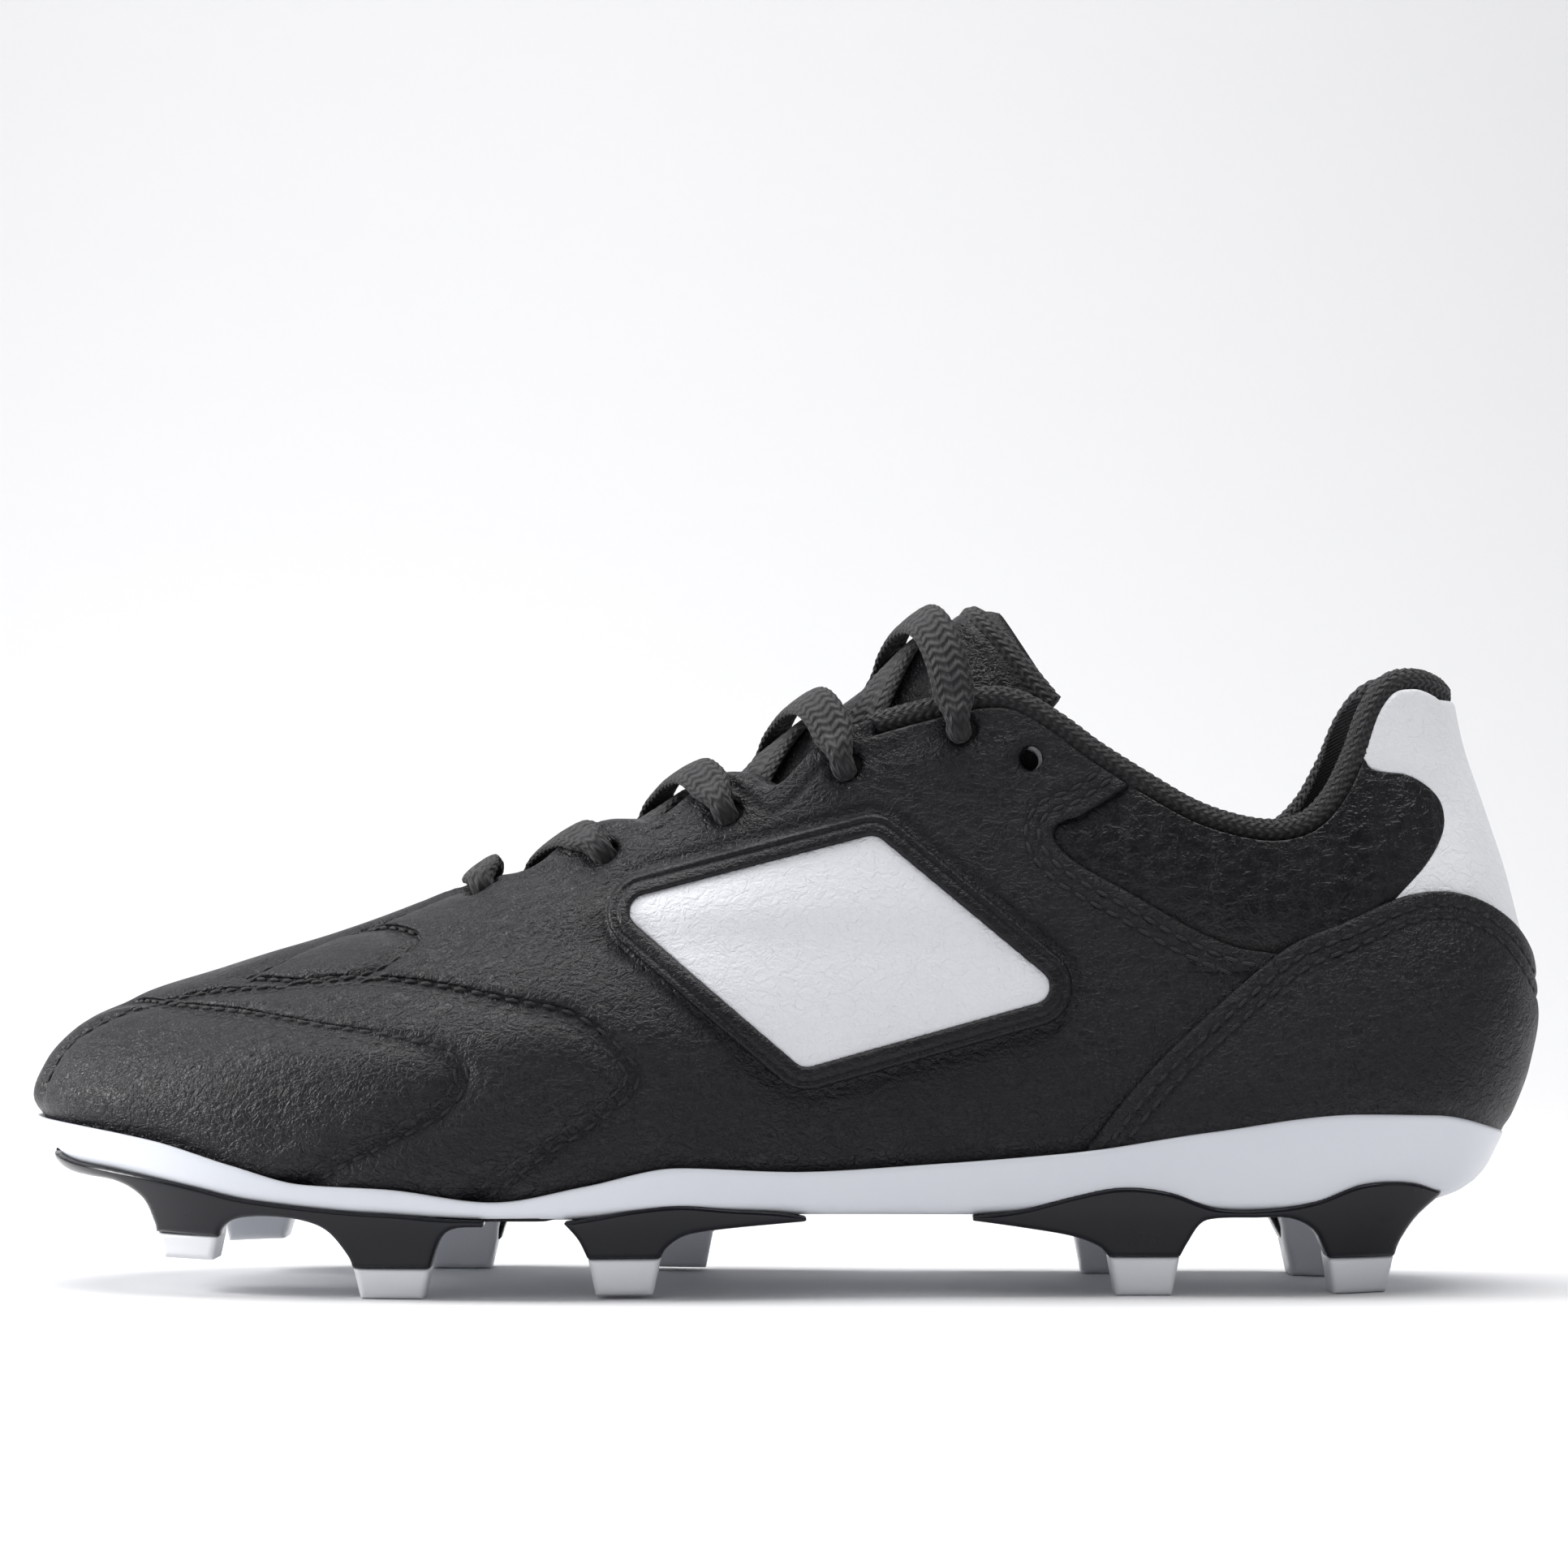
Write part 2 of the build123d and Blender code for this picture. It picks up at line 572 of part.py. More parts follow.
# ------------------------------------------------------------------ binding, tongue and lace

def tongue_frame():
    """Unit vectors along the tongue at the fold and out of its face."""
    angle = math.radians(TONGUE_RISE)
    return (math.cos(angle), math.sin(angle)), (-math.sin(angle), math.cos(angle))


def from_fold(along, out):
    (ax, az), (nx, nz) = tongue_frame()
    return TONGUE_FOLD[0] + along * ax + out * nx, TONGUE_FOLD[1] + along * az + out * nz


def tongue_zones():
    """Side-view regions of the lower tongue, the folding top and the binding along its end."""
    whole = side_region(TONGUE_OUTLINE)
    below_fold = side_region([from_fold(-FOLD_CLEARANCE, FAR), from_fold(-FOLD_CLEARANCE, -FAR),
                              from_fold(-FAR, -FAR), from_fold(-FAR, FAR)])
    relief = FAR * math.tan(math.radians(FOLD_RELIEF))
    above_fold = side_region([from_fold(FOLD_CLEARANCE, FAR), from_fold(FOLD_CLEARANCE, 0),
                              from_fold(FOLD_CLEARANCE + relief, -FAR), from_fold(FAR, -FAR),
                              from_fold(FAR, FAR)])
    (x0, z0), (x1, z1) = TONGUE_OUTLINE[-2], TONGUE_OUTLINE[-1]
    length = math.hypot(x1 - x0, z1 - z0)
    back = ((z1 - z0) / length * TONGUE_BINDING_WIDTH, -(x1 - x0) / length * TONGUE_BINDING_WIDTH)
    end_band = side_region([(x0, z0), (x1, z1), (x1 - back[0], z1 - back[1]), (x0 - back[0], z0 - back[1])])
    narrow = Pos(0, HEEL_CENTRE, 0) * Box(2 * FAR, 2 * TONGUE_TOP_HALF_WIDTH, 2 * FAR)
    return whole & below_fold, whole & above_fold & narrow, end_band


def tongue_layers():
    """Face, foam and lining of the tongue, each as a lower piece and a folding top piece."""
    lower, top, end_band = tongue_zones()
    pieces = {}
    for name, outer, inner in (("face", TONGUE_FACE_FRONT, TONGUE_FACE_BACK),
                               ("foam", TONGUE_FACE_BACK + GAP, TONGUE_FOAM_BACK),
                               ("lining", TONGUE_FOAM_BACK + GAP, TONGUE_LINING_BACK)):
        layer = shell(outer, inner)
        pieces[f"tongue_{name}_lower"] = layer & lower
        pieces[f"tongue_{name}_top"] = (layer & top) - end_band
    pieces["tongue_binding"] = shell(TONGUE_FACE_FRONT, TONGUE_LINING_BACK) & top & end_band
    return pieces


def lace_station(x, y, depth):
    """Point above (positive) or below the surface over a plan position."""
    side = -1 if y < centre_at(x) else 1
    z = surface_height(x, y)
    normal = surface_normal(x, z, side)
    near_ridge = 1 - min(abs(y - centre_at(x)) / RIDGE_BLEND, 1)
    normal = (normal * (1 - near_ridge) + Vector(*RIDGE_NORMAL) * near_ridge).normalized()
    return Vector(x, y, z) + normal * depth


def strand(start, finish, depths):
    """Points of a strand between two eyelets; depths is a list of (share of the way, height above)."""
    depth_at = smooth(depths)
    points = []
    for share in STRAND_STATIONS:
        x = start.X + (finish.X - start.X) * share
        y = start.Y + (finish.Y - start.Y) * share
        points.append(lace_station(x, y, depth_at(share)))
    return points


def eyelet_turn(row, side, coming_from):
    """Points of the bend that takes the lace in through an eyelet."""
    centre = surface_point(*row, side)
    normal = surface_normal(*row, side)
    inwards = coming_from - centre
    inwards = (inwards - normal * inwards.dot(normal)).normalized()
    return [centre + normal * height + inwards * offset for height, offset in EYELET_BEND]


def lace_side(rows, side, depths):
    """From the first eyelet of one side up through alternating eyelets to the last row."""
    points = []
    for lower, upper in zip(rows, rows[1:]):
        crossing = strand(surface_point(*lower, side), surface_point(*upper, -side), depths)
        points += crossing + eyelet_turn(upper, -side, crossing[-1])
        side = -side
    return points


def cord(points):
    """Round cord through the points."""
    path = Spline(*points)
    ring = Wire(Edge.make_circle(LACE_RADIUS, Plane(origin=path @ 0, z_dir=path % 0)))
    return Solid.sweep(ring, Wire(path))


def lace():
    """Cord that meets in the middle of the first row; both halves cross up to the fifth row."""
    rows = EYELETS[:LACED_ROWS]
    bar = strand(surface_point(*rows[0], -1), surface_point(*rows[0], 1), LACE_OVER)
    middle = len(bar) // 2
    lateral = eyelet_turn(rows[0], -1, bar[0]) + lace_side(rows, -1, LACE_LOW_CROSS)
    medial = eyelet_turn(rows[0], 1, bar[-1]) + lace_side(rows, 1, LACE_HIGH_CROSS)
    apart = (bar[middle + 1] - bar[middle - 1]).normalized() * (LACE_ROOM / 2)
    return [cord(lateral[::-1] + bar[:middle] + [bar[middle] - apart]),
            cord(medial[::-1] + bar[:middle:-1] + [bar[middle] + apart])]


# ------------------------------------------------------------------ build every piece

write("upper_main", upper_main())
tab, panel_lateral, panel_medial = rear_panels()
write("heel_tab", tab)
write("collar_panel_lateral", panel_lateral)
write("collar_panel_medial", panel_medial)
write("heel_foxing", heel_foxing())
for side, name in ((-1, "lateral"), (1, "medial")):
    inlay, frame = side_emblem(side)
    write(f"side_emblem_inlay_{name}", inlay)
    write(f"side_emblem_frame_{name}", frame)

puff, strip_lateral, strip_medial, backing = hidden_front()
write("toe_puff", puff)
write("eyestay_strip_lateral", strip_lateral)
write("eyestay_strip_medial", strip_medial)
write("backing_foam", backing)
write("heel_counter", heel_counter())
write("ankle_foam", ankle_foam())
write("vamp_lining", vamp_lining())
write("ankle_lining", ankle_lining())
write("strobel_board", strobel_board())
write("sockliner", sockliner())

plate_skin = last(-RIM_OUTSET - GAP) - under_curve(underside_at, -GAP)
write("sole_plate", sole_plate())
ring = carrier_ring(plate_skin)
forefoot = [carrier(ring, FOREFOOT_CARRIER, side, stem_cavities(STUDS[:2], side)) for side in (-1, 1)]
write("forefoot_carrier", forefoot[0] + forefoot[1])
for side, name in ((-1, "lateral"), (1, "medial")):
    write(f"midfoot_carrier_{name}", carrier(ring, MIDFOOT_CARRIER, side, stem_cavities(STUDS[2:3], side)))
    write(f"heel_carrier_{name}", carrier(ring, HEEL_CARRIER, side, stem_cavities(STUDS[3:], side)))
write("studs", all_studs())

write("collar_binding", binding_roll(BINDING_RADIUS))
for node, piece in tongue_layers().items():
    write(node, piece)
write("lace", lace())
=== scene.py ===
import json
import math
import random

import bpy
import numpy as np
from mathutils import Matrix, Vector, kdtree, noise


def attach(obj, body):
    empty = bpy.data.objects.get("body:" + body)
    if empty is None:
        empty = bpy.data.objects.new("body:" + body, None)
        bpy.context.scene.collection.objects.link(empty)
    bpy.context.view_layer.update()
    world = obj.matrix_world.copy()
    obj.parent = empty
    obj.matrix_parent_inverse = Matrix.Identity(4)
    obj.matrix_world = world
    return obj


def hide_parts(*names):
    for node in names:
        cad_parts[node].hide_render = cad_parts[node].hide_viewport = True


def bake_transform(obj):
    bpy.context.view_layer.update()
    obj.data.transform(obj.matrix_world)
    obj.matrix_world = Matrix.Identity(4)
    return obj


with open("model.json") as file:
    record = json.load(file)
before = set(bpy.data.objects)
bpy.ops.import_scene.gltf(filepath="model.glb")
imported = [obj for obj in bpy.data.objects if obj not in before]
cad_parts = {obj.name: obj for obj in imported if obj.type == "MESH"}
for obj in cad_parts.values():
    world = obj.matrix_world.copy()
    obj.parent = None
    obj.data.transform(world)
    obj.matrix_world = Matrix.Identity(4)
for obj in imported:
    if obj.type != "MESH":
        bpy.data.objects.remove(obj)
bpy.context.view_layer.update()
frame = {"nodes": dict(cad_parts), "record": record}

# Soccer cleat, left foot.  Lengths in this script are millimetres in the frame of the CAD model
# (toe towards -X, lateral side towards -Y, ground at z 0) and are turned into metres in new_mesh().
MM = 0.001

# ------------------------------------------------------------------ form of the upper
# The upper's surface is described by the same curves as the CAD model.

FRONT_BY_LEVEL = [(0, -105), (8, -107), (14, -110), (20, -114.5), (26, -118.2), (30, -119.9), (35, -118),
                  (40, -113.5), (45, -104), (50, -90), (55, -72.5), (60, -58.5), (64.5, -48), (70, -39),
                  (75, -29.5), (85, -10.5), (96, 6.5), (110, 24.5), (130, 46.5)]
BACK_BY_LEVEL = [(0, 101), (6, 103.5), (14, 108), (20, 111), (27, 114.2), (35, 117.2), (44, 118.9),
                 (50, 118.7), (57, 117), (66, 114.6), (78, 110.6), (86, 108), (94, 106.5), (130, 100)]
LATERAL_WIDTH = [(-120, 34), (-100, 37), (-80, 40.5), (-60, 42.5), (-40, 42), (-20, 39), (0, 35), (20, 32),
                 (40, 30), (60, 30), (100, 30.5)]
MEDIAL_WIDTH = [(-120, 32), (-100, 34), (-80, 38.5), (-60, 40.5), (-40, 39.5), (-20, 36), (0, 32.5), (20, 30),
                (40, 29), (60, 29.5), (100, 30)]
WIDTH_BY_LEVEL = [(0, 0.86), (6, 0.885), (14, 0.955), (22, 0.995), (28, 1.0), (38, 0.975), (50, 0.92),
                  (62, 0.85), (75, 0.76), (90, 0.68), (120, 0.58)]
CENTRELINE = [(-120, 4.3), (-80, 2.8), (-40, -0.2), (0, -2.2), (120, -2.2)]
FRONT_ROUNDING = [(6, 40), (25, 43), (35, 55), (45, 100), (52, 112), (60, 90), (68, 85), (76, 75), (84, 55),
                  (95, 40), (120, 30)]
BACK_ROUNDING = 32

PLATE_UNDERSIDE = [(-121, 24.5), (-117, 21), (-112, 19.2), (-104, 18.2), (-92, 15.8), (-79, 13.5),
                   (-60, 12.3), (-38, 12.1), (0, 12.7), (40, 12.4), (90, 12.6), (103, 14.4), (110, 16.5),
                   (116, 21)]
RIM_TOP = [(-121, 27), (-110, 25.8), (-97, 23.8), (-84, 20.2), (-73, 17.5), (-60, 16.9), (-44, 15),
           (-30, 17.4), (-16, 20.1), (2, 19.4), (22, 20.4), (44, 22.1), (66, 25.4), (88, 28), (100, 27.8),
           (116, 24)]
THROAT_EDGE = [(-54, 0), (-47, 6.5), (-38.5, 13), (-30, 9), (-20.5, 16), (-11, 13), (-1.5, 18.5), (7, 16.5),
               (16, 17.5), (40, 17.5)]
MEDIAL_SHIFT = [(-119, 0), (-98, 5), (-60, 6), (-30, 7), (4, 7), (28, -2), (105, -2)]

# Side-view seams and outlines, (x, z).
BINDING_PATH = [(12.5, 87.4), (20, 89.5), (30, 91.8), (36, 91.4), (42, 88), (48, 83.5), (55, 79),
                (62, 74.8), (68, 72.4), (75, 71.1), (81, 72.3), (85.5, 76.5), (89, 83), (91.8, 90),
                (95, 94.2), (99, 95.2), (102.5, 94.4)]
BINDING_REAR = (104.1, 93.6)
BINDING_DEPTH = 2.6
BINDING_RADIUS = 2.45
EYELETS = [(-47.4, 62.7), (-28.3, 68.2), (-9.2, 74.4), (9.2, 81.4), (27.1, 87.2), (37.6, 82.8)]
LACED_ROWS = 5
EYELET_RADIUS = 1.95
QUARTER_EDGE = [(56, 84), (54.9, 80), (46.7, 74.4), (42.3, 72.6), (41.7, 70.1), (45.4, 66.3), (54, 61.4),
                (62.3, 56.6), (69.6, 53.5), (76, 52.4), (84, 50)]
FOXING_EDGE = [(44, 16), (46.3, 22.7), (53.8, 32.5), (62.8, 41.4), (76.6, 53), (85.7, 57.2), (96.8, 61.7),
               (105.7, 61.6), (114, 57.3), (121, 49)]
HEEL_TAB_EDGE = [(90, 84), (91.5, 81.1), (97.6, 80.2), (101.8, 77.5), (103.1, 74.3), (102.4, 70.7),
                 (99.1, 65.8), (92, 58), (90, 50)]
PANEL_CORE = [(-21, 59), (13.5, 68), (38, 47.5), (3.5, 38)]
TONGUE_OUTLINE = [(-50, 72), (-50, 47), (-18, 59.5), (10, 75), (32, 86.5), (43, 92), (22.2, 118)]
FAR = 400


def smooth(knots):
    """Curve through the knots that never overshoots them; flat beyond the ends."""
    xs, ys = np.array(knots, float).T
    steps = np.diff(ys) / np.diff(xs)
    left, right = steps[:-1], steps[1:]
    same_way = left * right > 0
    total = np.where(same_way, left + right, 1.0)
    inner = np.where(same_way, 2 * left * right / total, 0.0)
    slopes = np.concatenate([steps[:1], inner, steps[-1:]])

    def value(at):
        at = np.clip(at, xs[0], xs[-1])
        i = np.clip(np.searchsorted(xs, at) - 1, 0, len(xs) - 2)
        width = xs[i + 1] - xs[i]
        u = (at - xs[i]) / width
        rise = ys[i] * (1 + 2 * u) * (1 - u) ** 2 + ys[i + 1] * u * u * (3 - 2 * u)
        return rise + width * (slopes[i] * u * (1 - u) ** 2 - slopes[i + 1] * u * u * (1 - u))

    return value


front_at = smooth(FRONT_BY_LEVEL)
back_at = smooth(BACK_BY_LEVEL)
lateral_width = smooth(LATERAL_WIDTH)
medial_width = smooth(MEDIAL_WIDTH)
width_factor = smooth(WIDTH_BY_LEVEL)
centre_at = smooth(CENTRELINE)
front_rounding = smooth(FRONT_ROUNDING)
underside_at = smooth(PLATE_UNDERSIDE)
rim_top_at = smooth(RIM_TOP)
throat_at = smooth(THROAT_EDGE)
medial_shift = smooth(MEDIAL_SHIFT)


def rounded_square(distance, length):
    """Square of the rounding of an end: near 1 away from it, 0 at it, negative beyond it."""
    share = distance / length
    return 1 - np.exp(np.clip(-2 * share - 1.2 * share * np.abs(share), -60, 3))


def front_inset(z, inset):
    """X of the front ridge of a layer inside the surface."""
    level, run = z, 1.0
    for _ in range(6):
        slope = front_at(level + 0.5) - front_at(level - 0.5)
        run = np.hypot(1, slope)
        level = z + inset * slope / run
    return front_at(level) + inset / run


def surface_y(x, z, side, inset=0.0):
    """Y of the surface, or of a layer inside it; side is -1 lateral or +1 medial."""
    width = np.where(side < 0, lateral_width(x), medial_width(x))
    nose = rounded_square(np.maximum(x - front_inset(z, inset), 0), front_rounding(z))
    heel = rounded_square(np.maximum(back_at(z) - inset - x, 0), BACK_ROUNDING)
    return centre_at(x) + side * (width * width_factor(z) - inset) * np.sqrt(nose * heel)


def skin(turn, z, inset=0.0):
    """Points of the surface: turn 0 at the front ridge, +0.5 or -0.5 at the heel, lateral side positive."""
    front, back = front_inset(z, inset), back_at(z) - inset
    x = front + (back - front) * (1 - np.cos(2 * np.pi * turn)) / 2
    side = np.where(np.sin(2 * np.pi * turn) >= 0, -1, 1)
    return np.stack([x, surface_y(x, z, side, inset), z + 0 * x], axis=-1)


def wall(side):
    """Points of one side of the surface by their side-view position."""
    def place(x, z, inset=0.0):
        return np.stack([x + 0 * z, surface_y(x, z, side, inset), z + 0 * x], axis=-1)
    return place


def outside(points):
    """Smooth function of space that is 0 on the surface and positive outside it."""
    x, y, z = points[..., 0], points[..., 1], points[..., 2]
    offset = y - centre_at(x)
    width = np.where(offset < 0, lateral_width(x), medial_width(x)) * width_factor(z)
    nose = rounded_square(x - front_at(z), front_rounding(z))
    heel = rounded_square(back_at(z) - x, BACK_ROUNDING)
    return (offset / width) ** 2 - nose * heel


def gradient(points):
    step = 0.2
    parts = []
    for axis in range(3):
        shift = np.zeros(3)
        shift[axis] = step
        parts.append((outside(points + shift) - outside(points - shift)) / (2 * step))
    return np.stack(parts, axis=-1)


def normals_at(points):
    slope = gradient(points)
    return slope / np.linalg.norm(slope, axis=-1, keepdims=True)


def projected(points):
    """Points moved onto the surface along its normals."""
    for _ in range(8):
        slope = gradient(points)
        square = np.maximum((slope ** 2).sum(-1, keepdims=True), 1e-9)
        step = outside(points)[..., None] * slope / square
        length = np.linalg.norm(step, axis=-1, keepdims=True)
        points = points - step * np.minimum(1, 3 / np.maximum(length, 1e-9))
    return points


# ------------------------------------------------------------------ curves and side-view regions

def curve_through(points, spacing=0.5):
    """Evenly spaced points on a smooth curve through the given points."""
    p = np.array(points, float)
    p = np.vstack([2 * p[0] - p[1], p, 2 * p[-1] - p[-2]])
    out = []
    for a, b, c, d in zip(p, p[1:], p[2:], p[3:]):
        for u in np.linspace(0, 1, 24, endpoint=False):
            out.append(0.5 * (2 * b + (c - a) * u + (2 * a - 5 * b + 4 * c - d) * u * u
                              + (3 * b - a - 3 * c + d) * u ** 3))
    out.append(p[-2])
    return evenly(np.array(out), spacing)


def evenly(points, spacing):
    """The same line with its points at equal steps."""
    run = np.concatenate([[0], np.cumsum(np.linalg.norm(np.diff(points, axis=0), axis=1))])
    count = max(2, int(round(run[-1] / spacing)) + 1)
    at = np.linspace(0, run[-1], count)
    return np.stack([np.interp(at, run, points[:, k]) for k in range(points.shape[1])], axis=-1)


def inside_distance(outline):
    """Distance to a closed side-view outline, positive inside it."""
    corners = np.array(outline, float)

    def distance(x, z):
        best = np.full(np.shape(x), 1e9)
        odd = np.zeros(np.shape(x), bool)
        for (x0, z0), (x1, z1) in zip(corners, np.roll(corners, -1, axis=0)):
            dx, dz = x1 - x0, z1 - z0
            length = dx * dx + dz * dz
            if length < 1e-12:
                continue
            u = np.clip(((x - x0) * dx + (z - z0) * dz) / length, 0, 1)
            best = np.minimum(best, np.hypot(x - x0 - u * dx, z - z0 - u * dz))
            crosses = (z0 > z) != (z1 > z)
            with np.errstate(divide="ignore", invalid="ignore"):
                odd ^= crosses & (x < x0 + (z - z0) * dx / (dz if dz else 1e-12))
        return np.where(odd, best, -best)

    return distance


def runs_outline(runs, shift=None):
    """Closed outline from runs of points; long runs are smooth, two-point runs straight."""
    corners = []
    for run in runs:
        moved = [(x + (float(shift(x)) if shift else 0), z) for x, z in run]
        points = curve_through(moved, 0.4) if len(moved) > 2 else np.array(moved, float)
        corners.extend(points[:-1])
    return corners


def behind(edge, low):
    """Everything behind a side-view edge, down to a level."""
    line = list(curve_through(edge, 0.8))
    return line + [(line[-1][0], low), (FAR, low), (FAR, FAR), (line[0][0], FAR)]


def seat_line(drop):
    """Side-view line the given distance under the centre of the collar binding."""
    path = curve_through(BINDING_PATH + [BINDING_REAR], 1.0)
    along = np.gradient(path, axis=0)
    along /= np.linalg.norm(along, axis=1, keepdims=True)
    return path + drop * np.stack([along[:, 1], -along[:, 0]], axis=-1)


def collar_region(drop):
    line = [tuple(p) for p in seat_line(drop)]
    return inside_distance(line + [(FAR, line[-1][1]), (FAR, FAR), (line[0][0], FAR)])


collar_opening = collar_region(1.2)
quarter_rear = inside_distance(behind(QUARTER_EDGE, 30))
tab_rear = inside_distance(behind(HEEL_TAB_EDGE, 30))
foxing_line = [tuple(p) for p in curve_through(FOXING_EDGE, 0.8)]
foxing_zone = inside_distance(foxing_line + [(FAR, 49), (FAR, -FAR), (44, -FAR)])
panel_distance = inside_distance(PANEL_CORE)


# ------------------------------------------------------------------ meshes

def new_mesh(name, points, faces, uv=None):
    """Object from points in millimetres, smooth shaded; uv is one pair per point."""
    mesh = bpy.data.meshes.new(name)
    mesh.from_pydata((np.asarray(points) * MM).tolist(), [], faces)
    mesh.validate()
    mesh.update()
    mesh.shade_smooth()
    if uv is not None:
        layer = mesh.uv_layers.new(name="along")
        index = np.empty(len(mesh.loops), np.int64)
        mesh.loops.foreach_get("vertex_index", index)
        layer.data.foreach_set("uv", np.asarray(uv, np.float32)[index].ravel())
    obj = bpy.data.objects.new(name, mesh)
    bpy.context.scene.collection.objects.link(obj)
    return obj


def grid(us, vs):
    """Both parameters of every grid point, and the quads between them."""
    rows, columns = len(vs), len(us)
    u, v = np.meshgrid(us, vs)
    index = np.arange(rows * columns).reshape(rows, columns)
    quads = np.stack([index[:-1, :-1], index[:-1, 1:], index[1:, 1:], index[1:, :-1]], axis=-1)
    return u.ravel(), v.ravel(), quads.reshape(-1, 4).tolist()


def clipped(u, v, faces, field):
    """Part of a grid where the field is positive, cut along the field's zero line."""
    field = np.where(np.abs(field) < 1e-4, 1e-4, field)
    keep = (field > 0).tolist()
    more_u, more_v, cuts = [], [], {}

    def cut(a, b):
        key = (a, b) if a < b else (b, a)
        if key not in cuts:
            p, q = key
            share = field[p] / (field[p] - field[q])
            cuts[key] = len(u) + len(more_u)
            more_u.append(u[p] + share * (u[q] - u[p]))
            more_v.append(v[p] + share * (v[q] - v[p]))
        return cuts[key]

    kept = []
    for face in faces:
        count = sum(keep[i] for i in face)
        if count == len(face):
            kept.append(face)
        elif count:
            ring = []
            for a, b in zip(face, face[1:] + face[:1]):
                if keep[a]:
                    ring.append(a)
                if keep[a] != keep[b]:
                    ring.append(cut(a, b))
            kept.append(ring)
    u = np.concatenate([u, more_u])
    v = np.concatenate([v, more_v])
    used = sorted({i for face in kept for i in face})
    number = {old: new for new, old in enumerate(used)}
    return u[used], v[used], [[number[i] for i in face] for face in kept]


def joined_at_heel(u, v, faces):
    """Merge the two ends of a grid that runs all the way round (turn -0.5 to 0.5)."""
    twin = {round(z, 3): i for i, (t, z) in enumerate(zip(u, v)) if t < -0.5 + 1e-9}
    swap = {i: twin.get(round(v[i], 3), i) for i in range(len(u)) if u[i] > 0.5 - 1e-9}
    return [[swap.get(i, i) for i in face] for face in faces]


def border_edges(faces):
    """Edges that only one face uses."""
    seen = {}
    for face in faces:
        for a, b in zip(face, face[1:] + face[:1]):
            seen[(a, b)] = True
    return [edge for edge in seen if (edge[1], edge[0]) not in seen]


def edge_round(distance, radius):
    """How far a rounded edge falls below its face, at a distance inside the outline."""
    near = np.clip(radius - distance, 0, radius)
    return radius - np.sqrt(np.maximum(radius ** 2 - near ** 2, 0))


def sheet(name, place, us, vs, region, outer, inner, closed=False):
    """Shell piece on the upper: region(points) > 0 is kept; outer and inner give depths per point."""
    u, v, faces = grid(us, vs)
    u, v, faces = clipped(u, v, faces, region(place(u, v)))
    base = place(u, v)
    distance = np.maximum(region(base), 0)
    top = place(u, v, outer(base, distance))
    bottom = place(u, v, inner(base, distance))
    if closed:
        faces = joined_at_heel(u, v, faces)
    count = len(top)
    a, b, c = (top[faces[0][k]] for k in (0, 1, 2))
    facing = np.cross(b - a, c - a) @ (a - bottom[faces[0][0]])
    if facing < 0:
        faces = [face[::-1] for face in faces]
    walls = [[b, a, a + count, b + count] for a, b in border_edges(faces)]
    below = [[i + count for i in face[::-1]] for face in faces]
    return new_mesh(name, np.vstack([top, bottom]), faces + walls + below)


def even(value):
    """Depth that is the same everywhere."""
    return lambda points, distance: np.full(len(points), float(value))


def tube(name, path, ups, profile, turns=48, pitch_uv=1.0):
    """Tube along a path; profile(share, angle, run) gives (across, up) offsets; ends closed."""
    along = np.gradient(path, axis=0)
    along /= np.linalg.norm(along, axis=1, keepdims=True)
    ups = ups - (ups * along).sum(1, keepdims=True) * along
    ups /= np.linalg.norm(ups, axis=1, keepdims=True)
    across = np.cross(along, ups)
    run = np.concatenate([[0], np.cumsum(np.linalg.norm(np.diff(path, axis=0), axis=1))])
    angle = np.linspace(0, 2 * np.pi, turns + 1)
    share = run / run[-1]
    side, rise = profile(share[:, None], angle[None, :], run[:, None])
    points = path[:, None] + side[..., None] * across[:, None] + rise[..., None] * ups[:, None]
    uv = np.stack(np.broadcast_arrays(angle[None, :] / (2 * np.pi), run[:, None] / pitch_uv), axis=-1)
    rows, columns = points.shape[:2]
    faces = grid(np.arange(columns), np.arange(rows))[2]
    ends = []
    for row in (0, rows - 1):
        ends.append(path[row])
        hub = rows * columns + len(ends) - 1
        for k in range(columns - 1):
            a, b = row * columns + k, row * columns + k + 1
            faces.append([hub, b, a] if row == 0 else [hub, a, b])
    points = np.vstack([points.reshape(-1, 3), ends])
    uv = np.vstack([uv.reshape(-1, 2), [[0.5, 0], [0.5, run[-1]]]])
    return new_mesh(name, points, faces, uv)


# ------------------------------------------------------------------ materials

def colour(r, g, b):
    return (r, g, b, 1.0)


